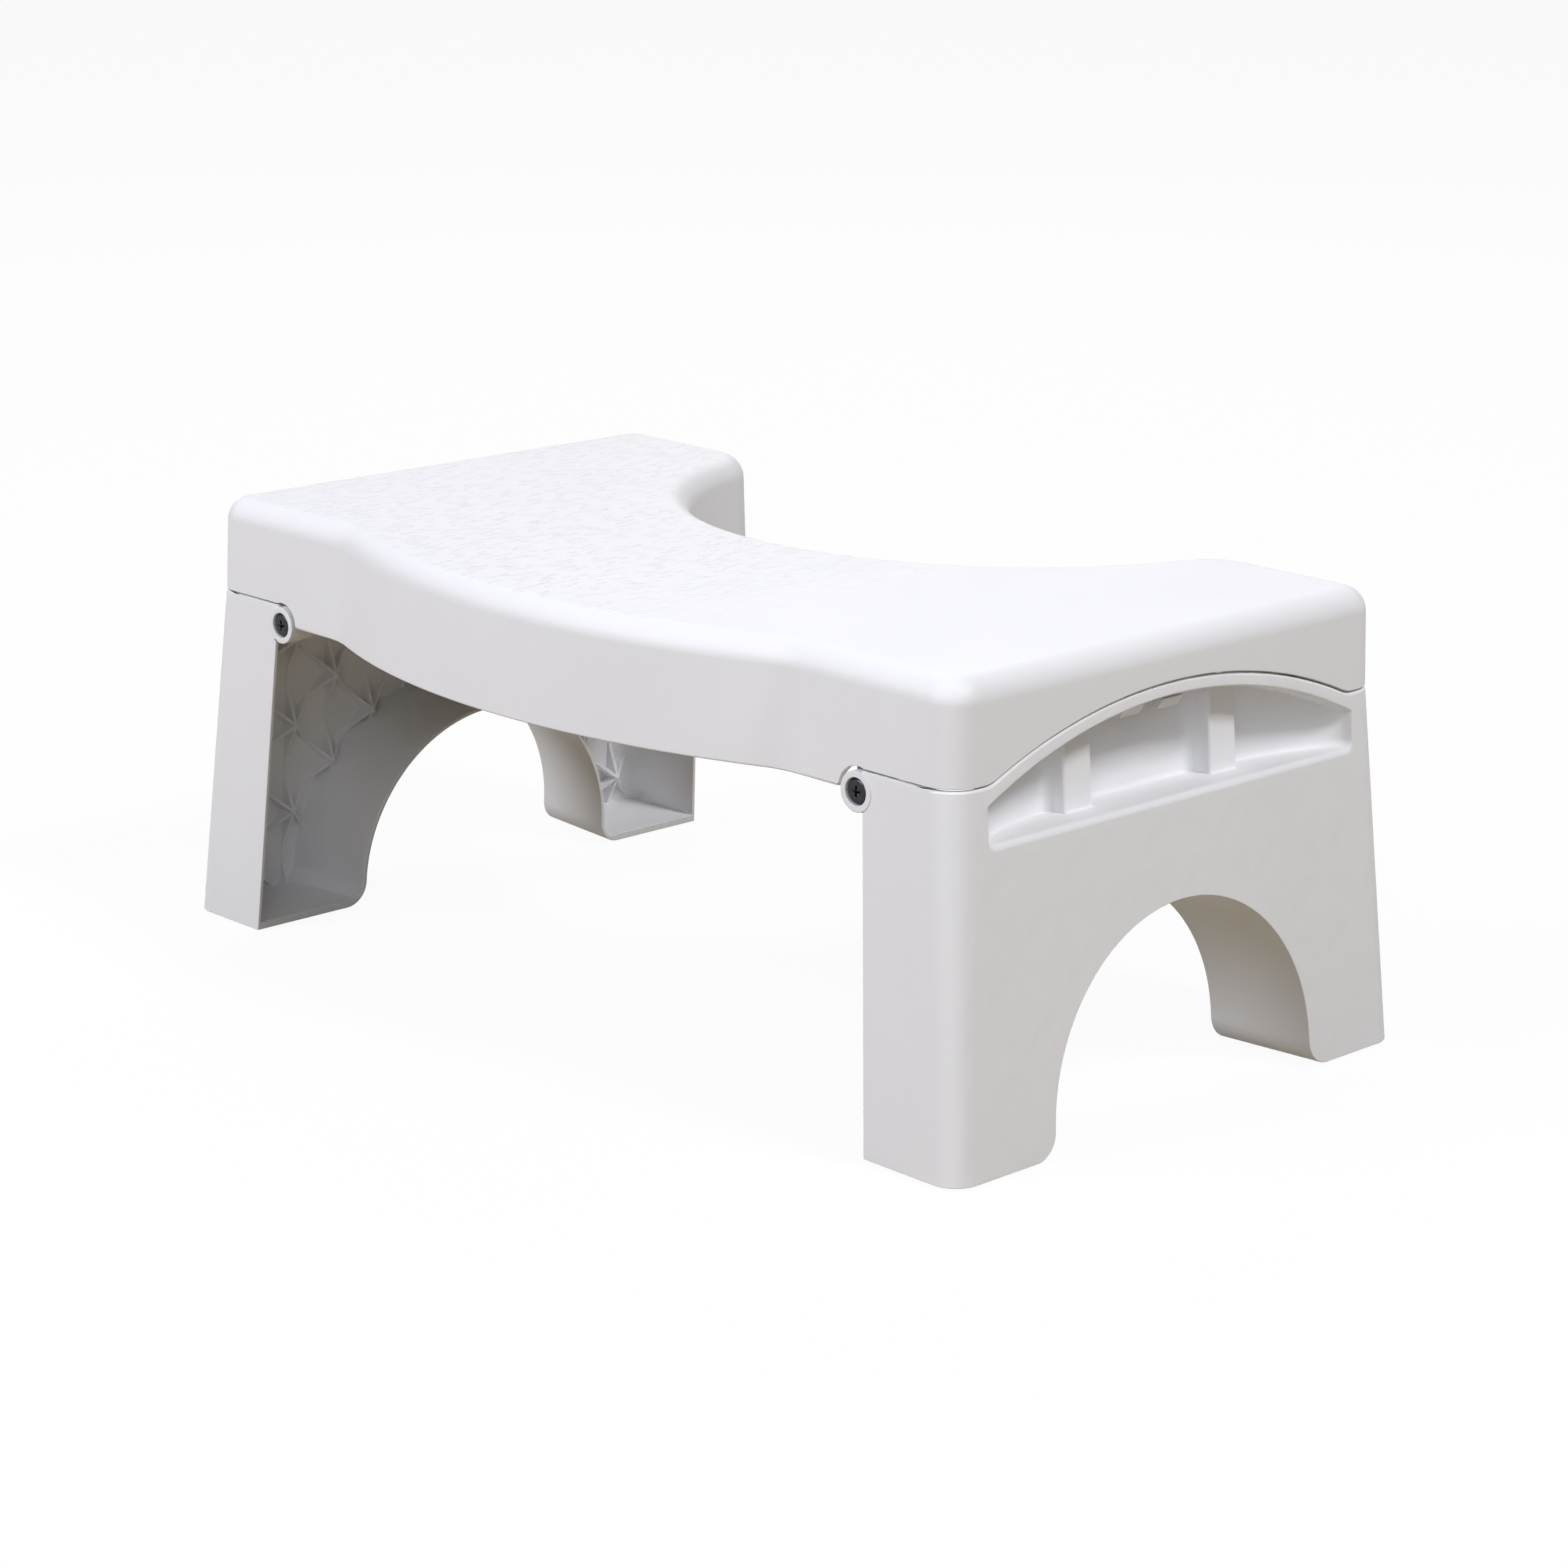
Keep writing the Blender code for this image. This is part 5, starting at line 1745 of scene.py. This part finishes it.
    def build_nut(self) -> bpy.types.Object:
        """Lock nut: r is the smaller of the hexagon and a chamfer's cone, then a round collar.

        The hexagon's radius is half the width across flats over cos of the angle to the
        nearest flat's middle.

        Returns:
            The nut.
        """
        flats, height, collar_height = self.nut
        chamfer, cut, slope = self.chamfer
        inner = self.sizes.shank + self.sizes.bore_gap
        collar = inner + self.collar_wall
        sides = 72
        angle = np.arange(sides) * FULL / sides
        off = (angle + HALF / 6) % (HALF / 3) - HALF / 6
        hexagon = flats / 2 / np.cos(off)
        corner = flats / 2 / math.cos(HALF / 6)
        face, back = self.nut_face, self.nut_face - height
        end = back - collar_height
        down, up = np.linspace(0, chamfer, 6), np.linspace(chamfer, 0, 6)
        depth = np.concatenate([down, up])
        cone = np.minimum(hexagon, (corner - cut + depth * slope)[:, None])
        rounds = np.array([collar, collar, collar - self.collar_edge, inner, inner])
        radius = np.vstack([np.full(sides, inner + self.broken), cone,
                            np.tile(rounds[:, None], sides)])
        distance = np.concatenate([[face], face - down, back + up,
                                   [back, end + self.collar_edge, end, end,
                                    face - self.broken]])
        return self.revolve("nut", radius, distance, sides, True)

    def build_and_dress(self, dark: bpy.types.Material, bright: bpy.types.Material) -> None:
        """Build one of each and set four of them on the hinge axes.

        Args:
            dark: Finish of the screws.
            bright: Finish of the washers and nuts.
        """
        kinds = {"screw": (self.build_screw(), dark, "screw_steel"),
                 "washer": (self.build_washer(), bright, "zinc_plated_steel"),
                 "nut": (self.build_nut(), bright, "zinc_plated_steel")}
        for kind, (pattern, metal, slot) in kinds.items():
            for side in Side:
                for face in Face:
                    node = f"pivot_{kind}_{side.word}_{face.word}"
                    piece = bpy.data.objects.new(node + "_turned", pattern.data.copy())
                    bpy.context.scene.collection.objects.link(piece)
                    points = read_points(piece.data) * (face.value, face.value, 1)
                    points += (side.sign * self.sizes.hinge_reach, 0, self.sizes.hinge)
                    write_points(piece.data, points)
                    round_edges(piece, [Rounding(self.rounding)], segments=1, least_angle=40)
                    place(piece, metal, node, slot, "platform")
            bpy.data.objects.remove(pattern, do_unlink=True)


# Foot pads


@dataclass
class FootPad:
    """A moulded rubber pad let into a foot, with grip waves on its sole.

    Attributes:
        leg: Leg whose recess it fills.
        thickness: Its thickness.
        edge: Radius of its lower edge.
        wave: Pitch and depth of the grip waves.
        hub: Size of the innermost ring, as a share of the outline's.
    """

    leg: Leg
    thickness: float = 0.0022
    edge: float = 0.0006
    wave: tuple[float, float] = (0.0032, 0.0004)
    hub: float = 0.02

    def build(self, name: str, side: Side, face: Face) -> bpy.types.Object:
        """Build a pad: rings that shrink from its rim to its middle, above and below.

        The sole's height is depth * (1 - cos(2 pi x / pitch)) / 2, faded out at the rim.

        Args:
            name: Name of the object.
            side: End of the stool.
            face: Long side of the stool.

        Returns:
            The pad.
        """
        plan = self.leg.pad_plan(0)
        closed = np.vstack([plan, plan[:1]])
        dense = np.linspace(0, len(plan), 161)[:-1]
        outline = np.column_stack([np.interp(dense, np.arange(len(closed)), closed[:, column])
                                   for column in range(2)])
        middle = outline.mean(axis=0)
        reach = np.abs(outline - middle).min(axis=1).max()
        pitch, depth = self.wave
        rings = []
        for share in np.linspace(self.hub, 1, 26)[:-1]:
            shrunk = middle + (outline - middle) * share
            rim = min(1.0, (1 - share) * reach / self.edge / 2)
            height = depth * (1 - np.cos(FULL * shrunk[:, 0] / pitch)) / 2 * rim
            rings.append(np.column_stack([shrunk, height]))
        for turn in np.linspace(0, QUARTER, 5):
            inset = self.edge * (1 - math.sin(turn))
            rings.append(ring(middle + (outline - middle) * (1 - inset / reach),
                              self.edge * (1 - math.cos(turn))))
        rings.append(ring(outline, self.thickness))
        rings.append(ring(middle + (outline - middle) * self.hub, self.thickness))
        pad = skin(name, [points * (side.sign, face.value, 1) for points in rings])
        pad.data.shade_smooth()
        return pad

    def dress(self, rubber: bpy.types.Material) -> None:
        """Set four pads under the feet.

        Args:
            rubber: Finish of the pads.
        """
        for side in Side:
            for face in Face:
                node = f"foot_pad_{side.word}_{face.word}"
                pad = self.build(node + "_moulded", side, face)
                place(pad, rubber, node, "pad_rubber", side.word + "_leg")


# Studio


@dataclass(frozen=True)
class Lamp:
    """Square soft lamp.

    Attributes:
        name: Name of the lamp.
        stand: Where it hangs.
        size: Width of its face.
        watts: Its power.
        colour: Colour of its light.
    """

    name: str
    stand: tuple[float, float, float]
    size: float
    watts: float
    colour: str

    def hang(self, target: Sequence[float]) -> None:
        """Hang the lamp so that its -Z axis runs from it to a target.

        Args:
            target: What it faces.
        """
        light = bpy.data.lights.new(self.name, "AREA")
        light.energy = self.watts
        light.size = self.size
        light.color = linear(self.colour)[:3]
        lamp = bpy.data.objects.new(self.name, light)
        back = np.array(self.stand, dtype=float) - np.array(target, dtype=float)
        back /= np.linalg.norm(back)
        # Y, tilted a hair so that it never lies along the lamp's own axis.
        side = np.cross((0.0, 1.0, 0.001), back)
        side /= np.linalg.norm(side)
        matrix = np.eye(4)
        matrix[:3, 0], matrix[:3, 1] = side, np.cross(back, side)
        matrix[:3, 2], matrix[:3, 3] = back, self.stand
        lamp.matrix_world = Matrix(matrix.tolist())
        bpy.context.scene.collection.objects.link(lamp)


@dataclass
class Studio:
    """Plain pale floor, soft light and the camera at the photograph's view.

    Attributes:
        azimuth: Degrees of the view about Z.
        elevation: Degrees of the view above the floor.
        roll: Degrees of the camera about its axis.
        distance: Distance from the point aimed at.
        slide: Slide of the camera to the right and up.
        aim: Height of the point aimed at.
        focal: Focal length over the width of the frame.
        sensor: Width of the camera's sensor, in millimetres.
        floor_size: Half the width of the floor.
        glow: Share of the floor's own white to the eye; the rest takes the stool's shadow.
        floor_colour: Colour of the floor as a source of light.
        sky: Colour and strength of the world as a source of light.
        lit: Height of the point that the lamps face.
        lamps: The lamps, in watts.
    """

    azimuth: float = 46.13014
    elevation: float = 15.64546
    roll: float = 0.62628
    distance: float = 1.544804
    slide: tuple[float, float] = (0.00526805, -0.00919176)
    aim: float = 0.085
    focal: float = 4039.047 / 1568
    sensor: float = 36.0
    floor_size: float = 6.0
    glow: float = 0.94
    floor_colour: str = "#998B6F"
    sky: tuple[str, float] = ("#FAFBFF", 0.08)
    lit: float = 0.1
    lamps: tuple[Lamp, ...] = (Lamp("front", (-0.74, -2.43, 1.69), 1.5, 57.5, "#F6F7FF"),
                               Lamp("right", (2.58, 0.48, 3.26), 0.8, 92.0, "#FCFCFF"),
                               Lamp("side", (1.75, -1.75, 1.53), 1.8, 17.0, "#F0F5FF"),
                               Lamp("back", (-1.3, 1.4, 1.4), 1.2, 8.5, "#FFFDFA"))

    def camera(self) -> None:
        """Camera placed from its angles, and made the scene's own."""
        turn, tilt, roll = (math.radians(value) for value in
                            (self.azimuth, self.elevation, self.roll))
        back = np.array([math.sin(turn) * math.cos(tilt), -math.cos(turn) * math.cos(tilt),
                         math.sin(tilt)])
        level = np.array([math.cos(turn), math.sin(turn), 0.0])
        up = np.cross(back, level)
        right = level * math.cos(roll) + up * math.sin(roll)
        top = up * math.cos(roll) - level * math.sin(roll)
        stand = (np.array([0, FRAME_SHIFT, self.aim]) + back * self.distance
                 + right * self.slide[0] + top * self.slide[1])
        lens = bpy.data.cameras.new("photograph_view")
        lens.sensor_width = self.sensor
        lens.lens = self.sensor * self.focal
        lens.clip_start = 0.05
        lens.clip_end = 50.0
        camera = bpy.data.objects.new("photograph_view", lens)
        matrix = np.eye(4)
        matrix[:3, 0], matrix[:3, 1], matrix[:3, 2], matrix[:3, 3] = right, top, back, stand
        camera.matrix_world = Matrix(matrix.tolist())
        bpy.context.scene.collection.objects.link(camera)
        bpy.context.scene.camera = camera

    def seen(self, tree: bpy.types.NodeTree) -> bpy.types.NodeSocket:
        """Socket that is 1 for camera, glossy and transmission rays: their largest.

        Args:
            tree: Tree of the floor's or the world's shader.

        Returns:
            The socket.
        """
        path = add_node(tree, "ShaderNodeLightPath")
        first = add_node(tree, "ShaderNodeMath", {"operation": "MAXIMUM"}, {},
                         {0: path.outputs["Is Camera Ray"], 1: path.outputs["Is Glossy Ray"]})
        return add_node(tree, "ShaderNodeMath", {"operation": "MAXIMUM"}, {},
                        {0: first.outputs[0], 1: path.outputs["Is Transmission Ray"]}).outputs[0]

    def floor(self) -> None:
        """Pale matt floor: white to the eye with the stool's faint shadow, dimmer as a source."""
        half = self.floor_size
        corners = [(-half, -half, 0), (half, -half, 0), (half, half, 0), (-half, half, 0)]
        mesh = bpy.data.meshes.new("floor")
        mesh.from_pydata(corners, [], [(0, 1, 2, 3)])
        floor = bpy.data.objects.new("floor", mesh)
        bpy.context.scene.collection.objects.link(floor)
        material = bpy.data.materials.new("Pale studio floor")
        material.use_nodes = True
        tree = material.node_tree
        tree.nodes.clear()
        lit = add_node(tree, "ShaderNodeBsdfDiffuse", {}, {"Color": linear("#FFFFFF")})
        glow = add_node(tree, "ShaderNodeEmission", {}, {"Color": (1, 1, 1, 1), "Strength": 1.0})
        pale = add_node(tree, "ShaderNodeMixShader", {}, {0: self.glow},
                        {1: lit.outputs[0], 2: glow.outputs[0]})
        source = add_node(tree, "ShaderNodeBsdfDiffuse", {},
                          {"Color": linear(self.floor_colour)})
        both = add_node(tree, "ShaderNodeMixShader", {}, {},
                        {0: self.seen(tree), 1: source.outputs[0], 2: pale.outputs[0]})
        add_node(tree, "ShaderNodeOutputMaterial", {}, {}, {"Surface": both.outputs[0]})
        mesh.materials.append(material)

    def world(self) -> None:
        """World: white to the eye, a dimmer even sky as a source of light."""
        world = bpy.data.worlds.new("soft studio")
        world.use_nodes = True
        tree = world.node_tree
        tree.nodes.clear()
        colour, strength = self.sky
        sky = add_node(tree, "ShaderNodeBackground", {},
                       {"Color": linear(colour), "Strength": strength})
        white = add_node(tree, "ShaderNodeBackground", {},
                         {"Color": (1, 1, 1, 1), "Strength": 1.0})
        both = add_node(tree, "ShaderNodeMixShader", {}, {},
                        {0: self.seen(tree), 1: sky.outputs[0], 2: white.outputs[0]})
        add_node(tree, "ShaderNodeOutputWorld", {}, {}, {"Surface": both.outputs[0]})
        bpy.context.scene.world = world

    def build(self) -> None:
        """Set up the whole studio."""
        bpy.context.scene.view_settings.view_transform = "Standard"
        self.floor()
        self.world()
        for lamp in self.lamps:
            lamp.hang((0.0, 0.0, self.lit))
        self.camera()


def main() -> None:
    """Build the stool's pieces in order, then the studio."""
    logging.basicConfig(level=logging.INFO, format="%(message)s")
    sizes = Sizes()
    platform, leg = Platform(sizes), Leg(sizes)
    sink_marks = SinkMarks(leg.lattice, sizes.leg_splay / sizes.seam,
                           sizes.half_length + sizes.leg_splay)
    top_plastic = MouldedPolypropylene(RaisedMarks())
    leg_plastic = MouldedPolypropylene(
        sink_marks, "Satin injection-moulded polypropylene, ribbed wall")
    dark = PlatedSteel("Dark zinc-plated screw steel", "#26262A", "#4A4A4E", (0.24, 0.38))
    bright = PlatedSteel("Bright zinc-plated steel", "#B9BBBE", "#D2D3D5", (0.22, 0.36))
    platform.build()
    platform.dress(top_plastic.material())
    leg.build()
    leg.dress(leg_plastic.material())
    Pivot(sizes).build_and_dress(dark.material(), bright.material())
    FootPad(leg).dress(MouldedRubber().material())
    Studio().build()


if __name__ == "__main__":
    main()
